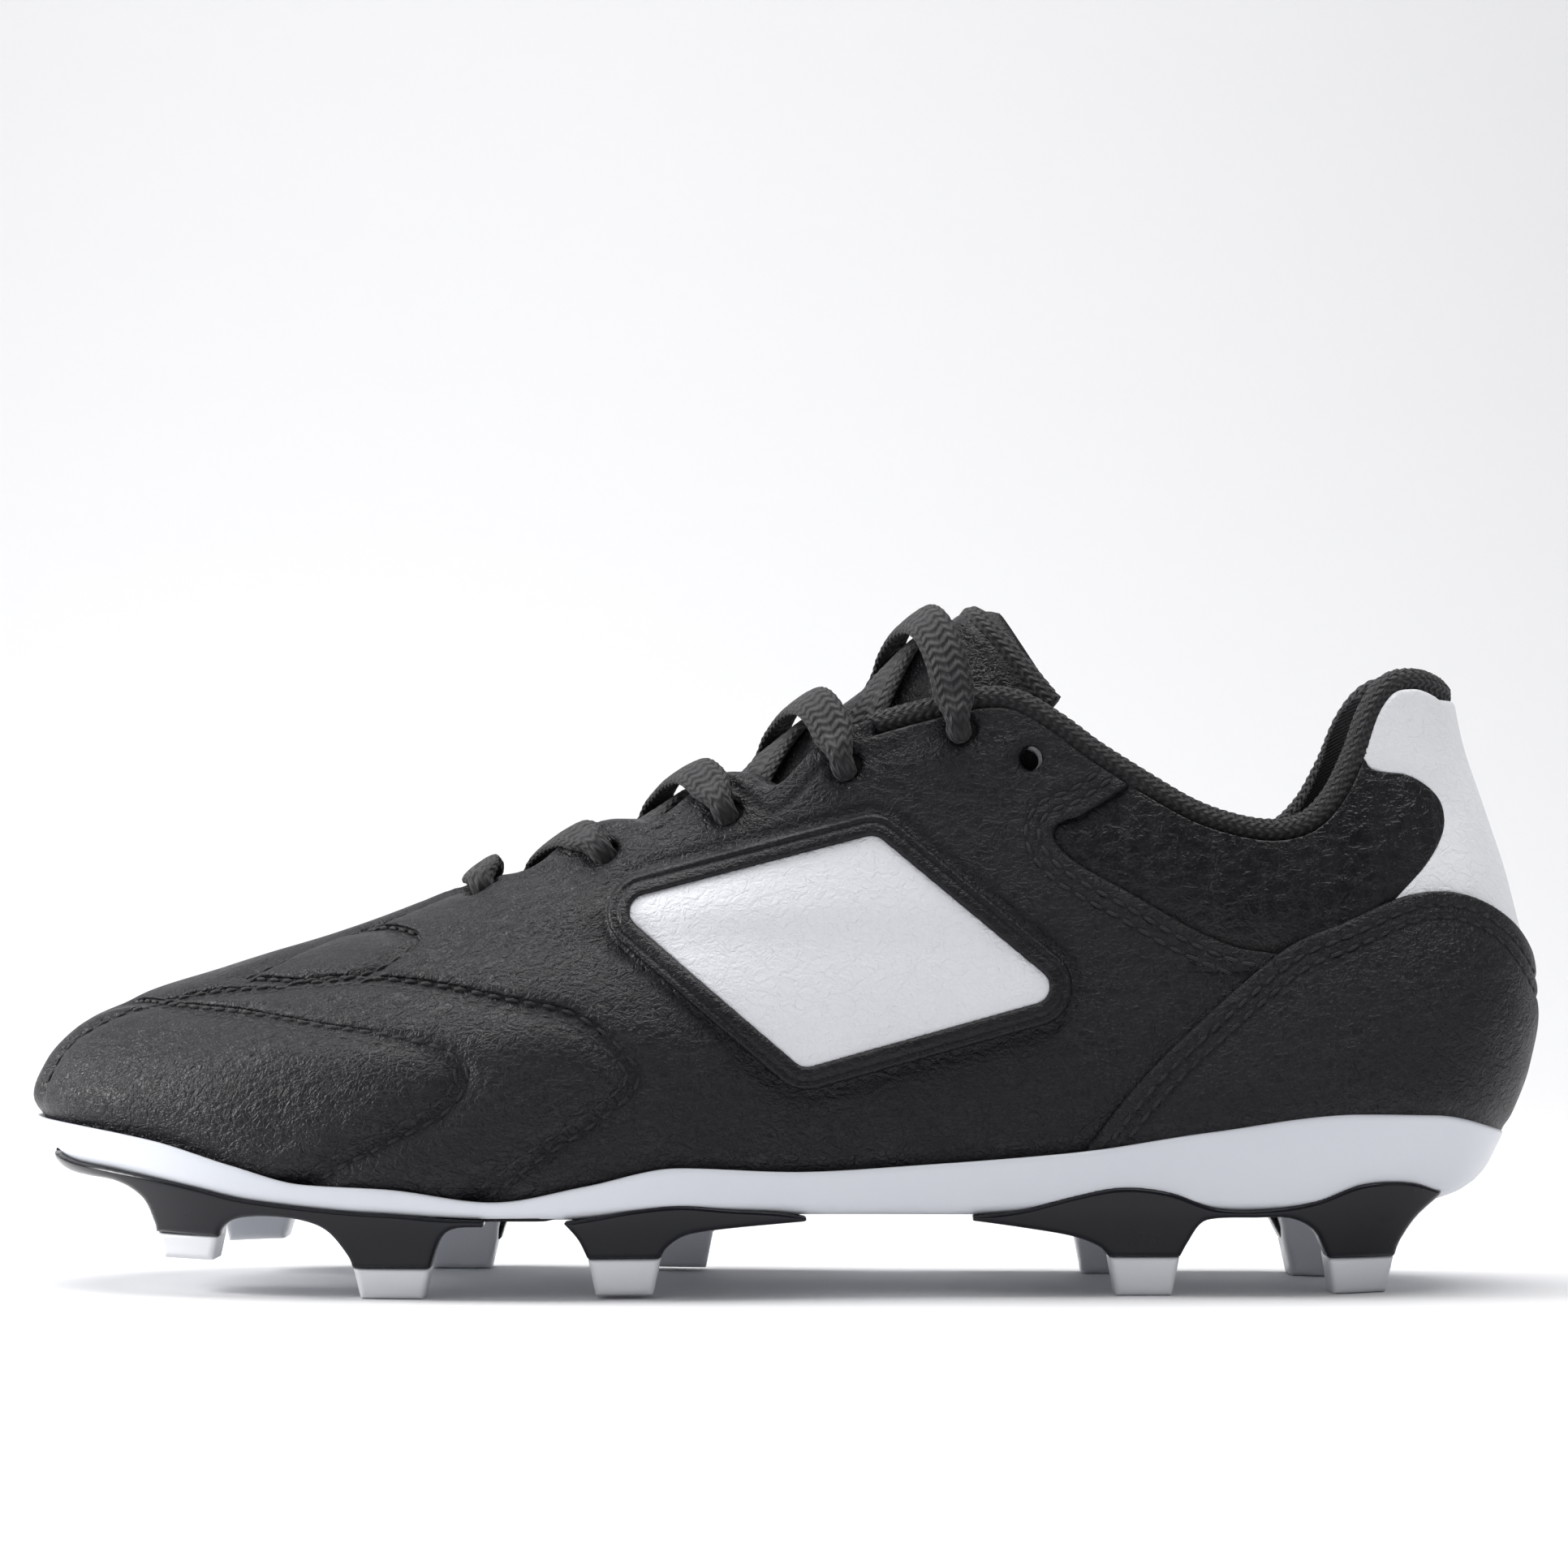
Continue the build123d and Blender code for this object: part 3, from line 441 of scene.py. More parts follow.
class Finish:
    """Builds one node material step by step; coordinates are metres in the object's frame."""

    def __init__(self, name, base, roughness, specular=0.5):
        self.material = bpy.data.materials.new(name)
        self.material.use_nodes = True
        self.nodes = self.material.node_tree.nodes
        self.links = self.material.node_tree.links
        self.shader = self.nodes["Principled BSDF"]
        self.shader.inputs["Base Color"].default_value = base
        self.shader.inputs["Roughness"].default_value = roughness
        self.shader.inputs["Specular IOR Level"].default_value = specular
        self.place = self.nodes.new("ShaderNodeTexCoord")
        self.height = None

    def link(self, source, target):
        self.links.new(source, target)

    def noise(self, cells_per_mm, detail=3.0, stretch=(1, 1, 1), distortion=0.0):
        spread = self.nodes.new("ShaderNodeMapping")
        spread.inputs["Scale"].default_value = stretch
        self.link(self.place.outputs["Object"], spread.inputs["Vector"])
        node = self.nodes.new("ShaderNodeTexNoise")
        node.inputs["Scale"].default_value = cells_per_mm / MM
        node.inputs["Detail"].default_value = detail
        node.inputs["Distortion"].default_value = distortion
        self.link(spread.outputs["Vector"], node.inputs["Vector"])
        return node.outputs["Fac"]

    def cells(self, cells_per_mm, feature="DISTANCE_TO_EDGE"):
        node = self.nodes.new("ShaderNodeTexVoronoi")
        node.feature = feature
        node.inputs["Scale"].default_value = cells_per_mm / MM
        self.link(self.place.outputs["Object"], node.inputs["Vector"])
        return node.outputs["Distance"]

    def math(self, operation, a, b=0.5):
        node = self.nodes.new("ShaderNodeMath")
        node.operation = operation
        for slot, value in zip(node.inputs, (a, b)):
            if isinstance(value, (int, float)):
                slot.default_value = value
            else:
                self.link(value, slot)
        return node.outputs["Value"]

    def ramp(self, source, low, high, from_low=0.0, from_high=1.0):
        node = self.nodes.new("ShaderNodeMapRange")
        node.inputs["From Min"].default_value = from_low
        node.inputs["From Max"].default_value = from_high
        node.inputs["To Min"].default_value = low
        node.inputs["To Max"].default_value = high
        self.link(source, node.inputs["Value"])
        return node.outputs["Result"]

    def mix_colour(self, source, dark, light):
        node = self.nodes.new("ShaderNodeMix")
        node.data_type = "RGBA"
        node.inputs["A"].default_value = dark
        node.inputs["B"].default_value = light
        self.link(source, node.inputs["Factor"])
        self.link(node.outputs["Result"], self.shader.inputs["Base Color"])
        return self

    def vary_roughness(self, source, low, high):
        self.link(self.ramp(source, low, high, 0.3, 0.7), self.shader.inputs["Roughness"])
        return self

    def bump(self, source, depth_mm, strength=1.0):
        node = self.nodes.new("ShaderNodeBump")
        node.inputs["Distance"].default_value = depth_mm * MM
        node.inputs["Strength"].default_value = strength
        self.link(source, node.inputs["Height"])
        if self.height is not None:
            self.link(self.height, node.inputs["Normal"])
        self.height = node.outputs["Normal"]
        self.link(self.height, self.shader.inputs["Normal"])
        return self


def leather(name, dark, light, rough=(0.36, 0.52), grain=0.11, wrinkle=0.16):
    """Synthetic leather: fine wrinkle grain, broad soft creases, satin sheen that varies."""
    finish = Finish(name, dark, 0.45, specular=0.3)
    creases = finish.math("ABSOLUTE", finish.ramp(finish.noise(0.42, 4, (1, 1, 1.3), 0.6), -1, 1))
    grain_cells = finish.cells(1.1)
    fine = finish.noise(2.6, 2)
    finish.mix_colour(finish.noise(0.05, 3), dark, light)
    finish.vary_roughness(finish.noise(0.12, 4), *rough)
    finish.bump(finish.ramp(creases, 0, 1, 0.0, 0.25), wrinkle)
    finish.bump(finish.ramp(grain_cells, 0, 1, 0.0, 0.12), grain * 0.5)
    finish.bump(fine, grain)
    return finish.material


def moulded(name, dark, light, rough, specular=0.5, ripple=0.02):
    """Moulded plastic: very slight flow ripple and fine surface texture, roughness that varies."""
    finish = Finish(name, dark, 0.3, specular)
    finish.mix_colour(finish.noise(0.04, 2), dark, light)
    finish.vary_roughness(finish.noise(0.2, 5), *rough)
    finish.bump(finish.noise(0.08, 2), ripple * 4, 0.5)
    finish.bump(finish.noise(3.0, 2), ripple)
    return finish.material


def cloth(name, dark, light, threads_per_mm=1.6, depth=0.12):
    """Woven or knit lining: fine regular threads, dull, with soft colour variation."""
    finish = Finish(name, dark, 0.85, specular=0.25)
    split = finish.nodes.new("ShaderNodeSeparateXYZ")
    finish.link(finish.place.outputs["Object"], split.inputs["Vector"])
    rate = 2 * math.pi * threads_per_mm / MM
    slant = finish.math("ADD", split.outputs["X"], split.outputs["Y"])
    one = finish.math("SINE", finish.math("MULTIPLY", slant, rate))
    two = finish.math("SINE", finish.math("MULTIPLY", split.outputs["Z"], rate))
    weave = finish.math("MULTIPLY", one, two)
    finish.mix_colour(finish.noise(0.3, 4), dark, light)
    finish.vary_roughness(finish.noise(0.6, 3), 0.75, 0.95)
    finish.bump(weave, depth * 0.5)
    finish.bump(finish.noise(4.0, 2), depth)
    finish.shader.inputs["Sheen Weight"].default_value = 0.15
    return finish.material


def foam(name, dark, light):
    finish = Finish(name, dark, 0.9, specular=0.2)
    finish.mix_colour(finish.cells(1.6, "F1"), dark, light)
    finish.vary_roughness(finish.noise(0.5, 3), 0.8, 0.98)
    finish.bump(finish.cells(2.2, "F1"), 0.2)
    return finish.material


def yarn(name, dark, light, lines, slant, depth, across_first=True):
    """Knitted or braided yarn that follows the tube's own coordinates; painted shade darkens the grooves of
    its relief.
    """
    finish = Finish(name, dark, 0.7, specular=0.35)
    uv = finish.nodes.new("ShaderNodeUVMap")
    uv.uv_map = "along"
    split = finish.nodes.new("ShaderNodeSeparateXYZ")
    finish.link(uv.outputs["UV"], split.inputs["Vector"])
    column = finish.math("MULTIPLY", split.outputs["X"], lines)
    fold = finish.math("PINGPONG", column, 0.5)
    chevron = finish.math("ADD", split.outputs["Y"], finish.math("MULTIPLY", fold, slant))
    ribs = finish.math("SINE", finish.math("MULTIPLY", chevron, 2 * math.pi))
    gaps = finish.math("SINE", finish.math("MULTIPLY", finish.math("PINGPONG", column, 0.5), 2 * math.pi))
    relief = finish.math("MULTIPLY", finish.ramp(ribs, 0, 1, -1, 1), finish.ramp(gaps, 0.35, 1, 0, 0.5))
    # Painted shade: the base colour follows the relief, dark in the grooves between the ribs and lighter on
    # their tops.
    finish.mix_colour(finish.ramp(relief, 0, 1, 0.1, 0.9), dark, light)
    finish.vary_roughness(finish.noise(0.8, 3), 0.55, 0.8)
    finish.bump(relief, depth)
    finish.bump(finish.noise(6.0, 2, (1, 1, 1)), 0.06)
    finish.shader.inputs["Sheen Weight"].default_value = 0.1
    return finish.material


looks = {
    "synthetic_black": leather("black_synthetic", colour(0.0046, 0.0046, 0.0066),
                               colour(0.0078, 0.0078, 0.0104)),
    "panel_black": leather("padded_panel_black", colour(0.003, 0.003, 0.0046), colour(0.0055, 0.0055, 0.0075),
                           (0.26, 0.38), 0.05, 0.10),
    "synthetic_white": leather("white_synthetic", colour(0.80, 0.81, 0.84), colour(0.87, 0.88, 0.90),
                               (0.38, 0.5), 0.04, 0.09),
    "emblem_white": leather("white_film", colour(0.77, 0.78, 0.82), colour(0.84, 0.85, 0.88),
                            (0.4, 0.52), 0.06, 0.10),
    "emblem_black": leather("embossed_black", colour(0.004, 0.004, 0.006), colour(0.0068, 0.0068, 0.0092),
                            (0.34, 0.46), 0.07, 0.08),
    "plate_white": moulded("white_plate", colour(0.69, 0.715, 0.77), colour(0.75, 0.77, 0.82), (0.28, 0.40)),
    "carrier_black": moulded("black_carrier", colour(0.004, 0.0043, 0.0072), colour(0.0065, 0.007, 0.0105),
                             (0.18, 0.28), specular=0.3, ripple=0.015),
    "stud_white": moulded("white_studs", colour(0.70, 0.715, 0.75), colour(0.78, 0.79, 0.82), (0.3, 0.45)),
    # Painted shade: the stiffener is near-black so that, where it shows inside the eyelet holes, its colour
    # stands in for the shade there.
    "stiffener": cloth("stiffener_cloth", colour(0.022, 0.022, 0.024), colour(0.04, 0.04, 0.043), 0.9),
    "foam": foam("foam_grey", colour(0.20, 0.20, 0.21), colour(0.34, 0.34, 0.35)),
    "counter_plastic": moulded("counter_sheet", colour(0.66, 0.65, 0.61), colour(0.75, 0.74, 0.70),
                               (0.5, 0.65)),
    "lining": cloth("lining_mesh", colour(0.012, 0.012, 0.014), colour(0.028, 0.028, 0.031)),
    "board": cloth("board_cloth", colour(0.66, 0.65, 0.60), colour(0.80, 0.79, 0.74), 0.8),
    "sockliner_foam": cloth("sockliner_cloth", colour(0.018, 0.018, 0.020), colour(0.035, 0.035, 0.038), 1.2),
    # Knit, lace and thread: the first colour is the painted shade in the grooves between the ribs, the second
    # the colour of the rib tops.
    "knit_black": yarn("rib_knit", colour(0.004, 0.004, 0.005), colour(0.022, 0.022, 0.025), 9, 1.1, 0.35),
    "lace_black": yarn("flat_braid", colour(0.004, 0.004, 0.005), colour(0.020, 0.020, 0.023), 8, 1.0, 0.28),
    "thread_black": yarn("thread", colour(0.006, 0.006, 0.007), colour(0.03, 0.03, 0.033), 3, 2.0, 0.05),
}


def dress(obj, look):
    obj.data.materials.clear()
    obj.data.materials.append(looks[look])
    return obj


def finish_piece(obj, body, look, slot, *nodes):
    """Give a piece its look, its body, and the CAD nodes it stands for; the slot argument is not used."""
    dress(obj, look)
    if body:
        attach(obj, body)
    if nodes:
        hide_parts(*nodes)
    return obj


# ------------------------------------------------------------------ seams of the upper

TOE_SEAM = [(-116.9, -6.8, 31.9), (-115.2, -5.7, 35.8), (-112.8, -4.5, 38.7), (-109.5, -4.9, 40.9),
            (-104.2, -5.9, 43.3), (-98.6, -8.9, 44.6), (-92.4, -11.6, 46), (-80.8, -18.3, 47.1),
            (-71.5, -21.8, 48.4), (-60.9, -27.5, 48.2), (-42.9, -35.8, 45.1), (-32.9, -38.3, 43),
            (-26.1, -40, 38.4), (-23, -40.4, 33.5), (-27.8, -41.4, 28.6), (-38.8, -41.9, 21.3),
            (-47.5, -40.5, 14.5)]
INNER_LOOP = [(-104.5, 0.7, 44.6), (-96.9, -11.3, 44.2), (-84, -22.6, 43.1), (-70.4, -32.3, 41),
              (-57.5, -38.2, 39), (-51.8, -40.1, 37.2), (-48.7, -41.2, 34.1), (-51.7, -41.6, 29.3),
              (-59.7, -41, 25), (-67.2, -39.5, 21.2), (-75.5, -36.5, 16.2)]
DROP_OUTER = [(-85, -12.6, 48.3), (-79.1, -10.3, 51.1), (-73.1, -6.7, 53.8), (-66.7, -5.9, 56.2),
              (-59.5, -15.6, 55.7), (-57.5, -20.4, 53.8), (-61.3, -23.8, 50.6), (-66.3, -24.1, 48.8),
              (-74.1, -21.1, 47.9), (-85, -12.6, 48.3)]
RIDGE_SEAM = [(-66, -6, 56.4), (-59.8, -6.5, 58.3), (-52.5, -6.2, 61.6), (-46, -7.7, 64.0)]
ROW_OFFSET = 0.95
STITCH_LENGTH = 2.15
STITCH_PITCH = 2.8
STITCH_RADIUS = 0.3
PILLOW_WIDTH = 5.5

# Distances of stitch rows and grooves from the edges they follow.
THROAT_ROW = 2.3
QUARTER_ROWS = (2.1, 4.1)
FOXING_ROWS = (2.3, 4.2)
FRAME_GROOVE = 7.0


def mirrored(points):
    p = np.array(points, float)
    centre = centre_at(p[:, 0])
    scale = medial_width(p[:, 0]) / lateral_width(p[:, 0])
    p[:, 1] = centre + (centre - p[:, 1]) * scale
    return p


def on_surface(points, spacing=0.5):
    """Smooth curve through the points, laid on the surface."""
    path = projected(curve_through(points, spacing))
    return evenly(path, spacing)


seams = []
for seam in (TOE_SEAM, INNER_LOOP, DROP_OUTER, RIDGE_SEAM):
    seams.append(on_surface(seam))
    seams.append(on_surface(mirrored(seam)))


def nearest(curves):
    """Function giving the distance from each point to the closest of some curves."""
    cloud = np.vstack(curves)
    tree = kdtree.KDTree(len(cloud))
    for i, p in enumerate(cloud):
        tree.insert(p, i)
    tree.balance()
    return lambda points: np.array([tree.find(p)[2] for p in points])


seam_distance = nearest(seams)
eyelet_centres = {}
for row, (ex, ez) in enumerate(EYELETS):
    for side in (-1, 1):
        eyelet_centres[row, side] = np.array([ex, float(surface_y(ex, ez, side)), ez])
eyelet_distance = nearest([np.array(list(eyelet_centres.values()))])


def swell_between_seams(distance):
    """Height of the foam-backed skin at a distance from a double-stitched seam."""
    pillow = 0.75 * (distance / PILLOW_WIDTH) * np.exp(1 - distance / PILLOW_WIDTH)
    return pillow - groove(distance, 0.55, 1.9) - groove(distance - ROW_OFFSET, 0.22, 0.38)


def throat_distance(points):
    x, y = points[:, 0], points[:, 1]
    start = THROAT_EDGE[0][0]
    gap = np.abs(y - centre_at(x)) - throat_at(x)
    return np.where(x < start, np.hypot(np.maximum(start - x, 0), np.maximum(gap, 0)), gap)


def groove(distance, depth, width):
    """Depth of a soft groove at a distance from its middle."""
    return depth * np.exp(-(distance / width) ** 2)


def rim_squeeze(x, z):
    """The skin is drawn in a little where the rim of the sole meets it."""
    return groove(np.maximum(z - rim_top_at(x), 0), 0.5, 1.6)


def quarter_lift(x, z):
    """Cut edge of the quarter lies on top of the padded panel."""
    distance = -quarter_rear(x, z)
    return groove(np.maximum(distance, 0), 0.45, 5.0) * (z > 50)


def skin_height(points):
    """Relief of the outer skin, in mm outwards."""
    x, z = points[:, 0], points[:, 2]
    height = swell_between_seams(seam_distance(points))
    throat = throat_distance(points)
    height -= groove(throat - THROAT_ROW, 0.28, 0.42) * (x < 40)
    height -= groove(eyelet_distance(points) - EYELET_RADIUS + 0.05, 0.35, 1.0)
    height -= rim_squeeze(x, z)
    for row in QUARTER_ROWS:
        height -= groove(-quarter_rear(x, z) - row, 0.25, 0.38) * (z > 52)
    height -= groove(-panel_distance(x, z) - FRAME_GROOVE, 0.35, 0.9)
    return height + quarter_lift(x, z)


def upper_region(points):
    x, y, z = points.T
    parts = [
        (z - rim_top_at(x) + 4.0),
        -collar_opening(x, z),
        -quarter_rear(x, z),
        np.where(x > 40, 50.0, throat_distance(points)),
        eyelet_distance(points) - EYELET_RADIUS,
    ]
    return np.minimum.reduce(parts)


def upper_outer(points, distance):
    return edge_round(distance, 0.4) - skin_height(points)


around = 1300
levels = np.concatenate([np.arange(12, 41, 0.9), np.arange(41, 62, 0.17),
                         np.arange(62, 100, 0.5)])
upper = sheet("upper_skin", skin, np.linspace(-0.5, 0.5, around), levels, upper_region, upper_outer,
              even(1.3), closed=True)
finish_piece(upper, "shoe", "synthetic_black", "synthetic_black", "upper_main")


# ------------------------------------------------------------------ padded ankle panels, heel tab, foxing

def crease(points, along, across, seed):
    """Soft folds of padded skin: broad along one direction, narrow along the other."""
    out = np.empty(len(points))
    for i, (x, y, z) in enumerate(points):
        out[i] = noise.noise(Vector((x * across + seed, y * along, z * along)))
    return out


PANEL_UNDERLAP = 3.0


def panel_region(points):
    x, y, z = points.T
    return np.minimum.reduce([quarter_rear(x, z) + PANEL_UNDERLAP, -tab_rear(x, z), -collar_opening(x, z),
                              -foxing_zone(x, z) + 4.0, z - 40])


def panel_outer(points, distance):
    x, z = points[:, 0], points[:, 2]
    inside = np.minimum(quarter_rear(x, z), -tab_rear(x, z) + 1.0)
    pad = 1.5 * (1 - np.exp(-np.maximum(inside, 0) / 4.5))
    folds = 0.42 * crease(points, 0.05, 0.28, 3.0) + 0.2 * crease(points, 0.12, 0.6, 9.0)
    return 0.75 - pad - folds * np.clip(inside / 4, 0, 1)


for side, name in ((-1, "lateral"), (1, "medial")):
    panel = sheet(f"ankle_panel_{name}", wall(side), np.arange(36, 106, 0.45), np.arange(44, 92, 0.45),
                  panel_region, panel_outer, even(2.2))
    finish_piece(panel, "shoe", "panel_black", "synthetic_black", f"collar_panel_{name}")


def tab_region(points):
    x, y, z = points.T
    return np.minimum.reduce([tab_rear(x, z), -collar_opening(x, z), -foxing_zone(x, z) + 4.0])


def tab_outer(points, distance):
    x, z = points[:, 0], points[:, 2]
    pad = 0.7 * (1 - np.exp(-np.maximum(tab_rear(x, z), 0) / 3))
    return 0.55 + edge_round(distance, 0.3) - pad - 0.3 * crease(points, 0.06, 0.2, 20.0)


heel_turns = np.linspace(0.30, 0.70, 420)
tab = sheet("heel_tab_skin", skin, heel_turns, np.arange(48, 96, 0.45), tab_region, tab_outer, even(1.3))
finish_piece(tab, "shoe", "synthetic_white", "synthetic_white", "heel_tab")


def foxing_region(points):
    x, y, z = points.T
    return np.minimum(foxing_zone(x, z), z - rim_top_at(x) + 2.5)


def foxing_outer(points, distance):
    x, z = points[:, 0], points[:, 2]
    below_edge = foxing_zone(x, z)
    height = 1.1 + 0.5 * (1 - np.exp(-np.maximum(below_edge - 5, 0) / 5))
    for row in FOXING_ROWS:
        height -= groove(below_edge - row, 0.3, 0.4)
    height -= rim_squeeze(x, z)
    return -height + edge_round(np.maximum(below_edge, 0), 0.45) + 0.12 * crease(points, 0.1, 0.1, 31.0)


foxing = sheet("heel_foxing_skin", skin, np.linspace(0.25, 0.75, 760), np.arange(16, 64, 0.4), foxing_region,
               foxing_outer, even(-0.05))
finish_piece(foxing, "shoe", "synthetic_black", "synthetic_black", "heel_foxing")


# ------------------------------------------------------------------ plain slanted side panel

FRAME_INNER = 2.6
FRAME_OUTER = 6.2


def inlay_region(points):
    return panel_distance(points[:, 0], points[:, 2]) + FRAME_INNER + 0.4


def inlay_outer(points, distance):
    return -0.55 - 0.25 * (1 - np.exp(-distance / 2)) + edge_round(distance, 0.3)


def frame_region_at(points):
    beyond = -panel_distance(points[:, 0], points[:, 2])
    return np.minimum(beyond - FRAME_INNER, FRAME_OUTER - beyond)


def frame_outer(points, distance):
    beyond = -panel_distance(points[:, 0], points[:, 2])
    return -1.25 + edge_round(distance, 0.9) + groove(beyond - 4.9, 0.4, 0.35)


for side, name in ((-1, "lateral"), (1, "medial")):
    xs, zs = np.arange(-30, 48, 0.35), np.arange(30, 78, 0.35)
    inlay = sheet(f"side_panel_inlay_{name}", wall(side), xs, zs, inlay_region, inlay_outer, even(-0.1))
    finish_piece(inlay, "shoe", "emblem_white", "emblem_white", f"side_emblem_inlay_{name}")
    border = sheet(f"side_panel_frame_{name}", wall(side), xs, zs, frame_region_at, frame_outer, even(-0.1))
    finish_piece(border, "shoe", "emblem_black", "emblem_black", f"side_emblem_frame_{name}")


# ------------------------------------------------------------------ sole plate

FULL_RIM = 4.6
HUB_REACH = 85


def plate_profile():
    """(depth, height above the underside or below the rim top) down the outside of the plate."""
    return [(0.3, "top", -3.0), (-0.25, "top", -0.7), (-0.6, "top", -0.12), (-0.95, "top", 0.0),
            (-1.25, "top", -0.18), (-1.4, "top", -0.55), (-1.42, "top", -1.1),
            (-1.4, "bottom", 2.4), (-1.2, "bottom", 1.6), (-0.7, "bottom", 0.85), (0.1, "bottom", 0.35),
            (1.2, "bottom", 0.08), (2.4, "bottom", 0.0)]


def sole_plate():
    """White plate: the rim's profile swept all the way round, closed below towards the middle line."""
    turns = np.linspace(-0.5, 0.5, 900)
    rings = []
    for depth, end, offset in plate_profile():
        z = np.full(len(turns), 20.0)
        for _ in range(6):
            x = skin(turns, z, depth)[:, 0]
            thinness = np.minimum(1, (rim_top_at(x) - underside_at(x)) / FULL_RIM)
            z = (rim_top_at(x) if end == "top" else underside_at(x)) + offset * thinness
        rings.append(skin(turns, z, depth))
    outline = rings[-1]
    hub_x = np.clip(outline[:, 0], -HUB_REACH, HUB_REACH)
    hub = np.stack([hub_x, centre_at(hub_x), outline[:, 2]], axis=-1)
    for share in np.linspace(0, 1, 26)[1:]:
        ring = outline + (hub - outline) * min(share, 0.999)
        x, y = ring[:, 0], ring[:, 1] - centre_at(ring[:, 0])
        arch = np.exp(-((x - 4) / 24) ** 4)
        ribs = 0.55 * arch * np.cos(2 * np.pi * y / 9) * np.clip((28 - np.abs(y)) / 8, 0, 1)
        ring[:, 2] = underside_at(x) - ribs
        rings.append(ring)
    points = np.array(rings)
    faces = grid(np.arange(len(turns)), np.arange(len(rings)))[2]
    return new_mesh("sole_plate_body", points.reshape(-1, 3), [face[::-1] for face in faces])


plate = sole_plate()
finish_piece(plate, "shoe", "plate_white", "plate_white", "sole_plate")

# Black overmoulded carriers: side-view outlines, runs of points.
FOREFOOT_CARRIER = [
    [(-119.5, 22.5), (-112, 20.2), (-106, 19.3), (-97.5, 18.1), (-89.8, 16.7), (-82, 15.1), (-67.5, 13.6),
     (-59, 13.1), (-52, 12.5), (-45.4, 12.2)],
    [(-45.4, 12.2), (-45.4, 11.2)],
    [(-45.4, 11.2), (-49.5, 11), (-51.6, 9.9), (-52.8, 7.7), (-53.7, 4.7)],
    [(-53.7, 4.7), (-65.5, 4.7)],
    [(-65.5, 4.7), (-66.4, 6.8), (-69.5, 10.5), (-73.8, 12.1), (-79.3, 12.5), (-83.7, 12), (-86.1, 10.5),
     (-86.8, 9)],
    [(-86.8, 9), (-97.5, 9.4)],
    [(-97.5, 9.4), (-97.8, 11.1), (-99.5, 14.8), (-104, 17.2), (-112, 18.2), (-119.5, 21.5)],
    [(-119.5, 21.5), (-119.5, 22.5)],
]
MIDFOOT_CARRIER = [
    [(-33.4, 11.9), (-29, 12.6), (-23, 13.7), (-15.7, 14.4), (-8.3, 13.8), (-1, 13.3), (3.4, 12.4)],
    [(3.4, 12.4), (3.4, 11.8)],
    [(3.4, 11.8), (-8.3, 10.8), (-14.5, 9.9), (-17.6, 8.1), (-18.8, 6.2)],
    [(-18.8, 6.2), (-29.7, 6.2)],
    [(-29.7, 6.2), (-31.2, 9.3), (-33.4, 11.9)],
]
HEEL_CARRIER = [
    [(28.9, 12.4), (36.4, 13.4), (43.9, 15.4), (51.4, 16.8), (58.8, 16.1), (66.3, 13.6), (73.8, 13.4),
     (81.2, 14.6), (88.7, 17.2), (96.2, 17.4), (101.8, 15.8)],
    [(101.8, 15.8), (101.8, 15.2)],
    [(101.8, 15.2), (98, 12), (95.5, 8.3), (94.6, 5.7)],
    [(94.6, 5.7), (83.7, 5.7)],
    [(83.7, 5.7), (83.1, 7), (81.2, 10.2), (77.5, 12), (72, 12.1), (66.3, 12), (63.8, 11.2), (61.9, 8.3),
     (60.7, 6)],
    [(60.7, 6), (49.9, 6)],
    [(49.9, 6), (48.2, 7.7), (43.9, 9.3), (36.4, 10.6), (28.9, 11.7)],
    [(28.9, 11.7), (28.9, 12.4)],
]
STUDS = [(-97.5, -86.8, 9.2, 5.3), (-65.5, -53.7, 4.7, 0.0), (-29.7, -18.8, 6.2, 0.7), (49.9, 60.7, 6.0, 0.0),
         (83.7, 94.6, 5.7, 0.0)]
STUD_TAPER = 1.1
STUD_BACK = 6.8


def wrapped_wall(side):
    """Like wall(), but near the toe the layers follow the rounded front instead of ending in a fin."""
    def place(x, z, inset=0.0):
        lead = front_inset(z, inset) - front_at(z)
        near = np.clip(1 - (x - front_at(z)) / 10, 0, 1)
        return wall(side)(x + lead * near ** 2, z, inset)
    return place


def carrier(name, runs, side, node):
    """Black overmoulded band with the legs of its studs."""
    shift = medial_shift if side > 0 else None
    outline = runs_outline(runs, shift)
    zone = inside_distance(outline)
    corners = np.array(outline)

    def region(points):
        x, z = points[:, 0], points[:, 2]
        return np.minimum(zone(x, z), x - front_at(z) - 0.01)

    def outer(points, distance):
        return -2.05 + edge_round(np.maximum(zone(points[:, 0], points[:, 2]), 0), 0.85)

    def inner(points, distance):
        return 3.6 - edge_round(distance, 0.5)

    xs = np.arange(corners[:, 0].min() - 1, corners[:, 0].max() + 1, 0.35)
    zs = np.arange(corners[:, 1].min() - 1, corners[:, 1].max() + 1, 0.25)
    piece = sheet(name, wrapped_wall(side), xs, zs, region, outer, inner)
    return finish_piece(piece, "shoe", "carrier_black", "carrier_black", node)


for side, name in ((-1, "lateral"), (1, "medial")):
    carrier(f"forefoot_carrier_{name}", FOREFOOT_CARRIER, side, "forefoot_carrier")
    carrier(f"midfoot_carrier_skin_{name}", MIDFOOT_CARRIER, side, f"midfoot_carrier_{name}")
    carrier(f"heel_carrier_skin_{name}", HEEL_CARRIER, side, f"heel_carrier_{name}")


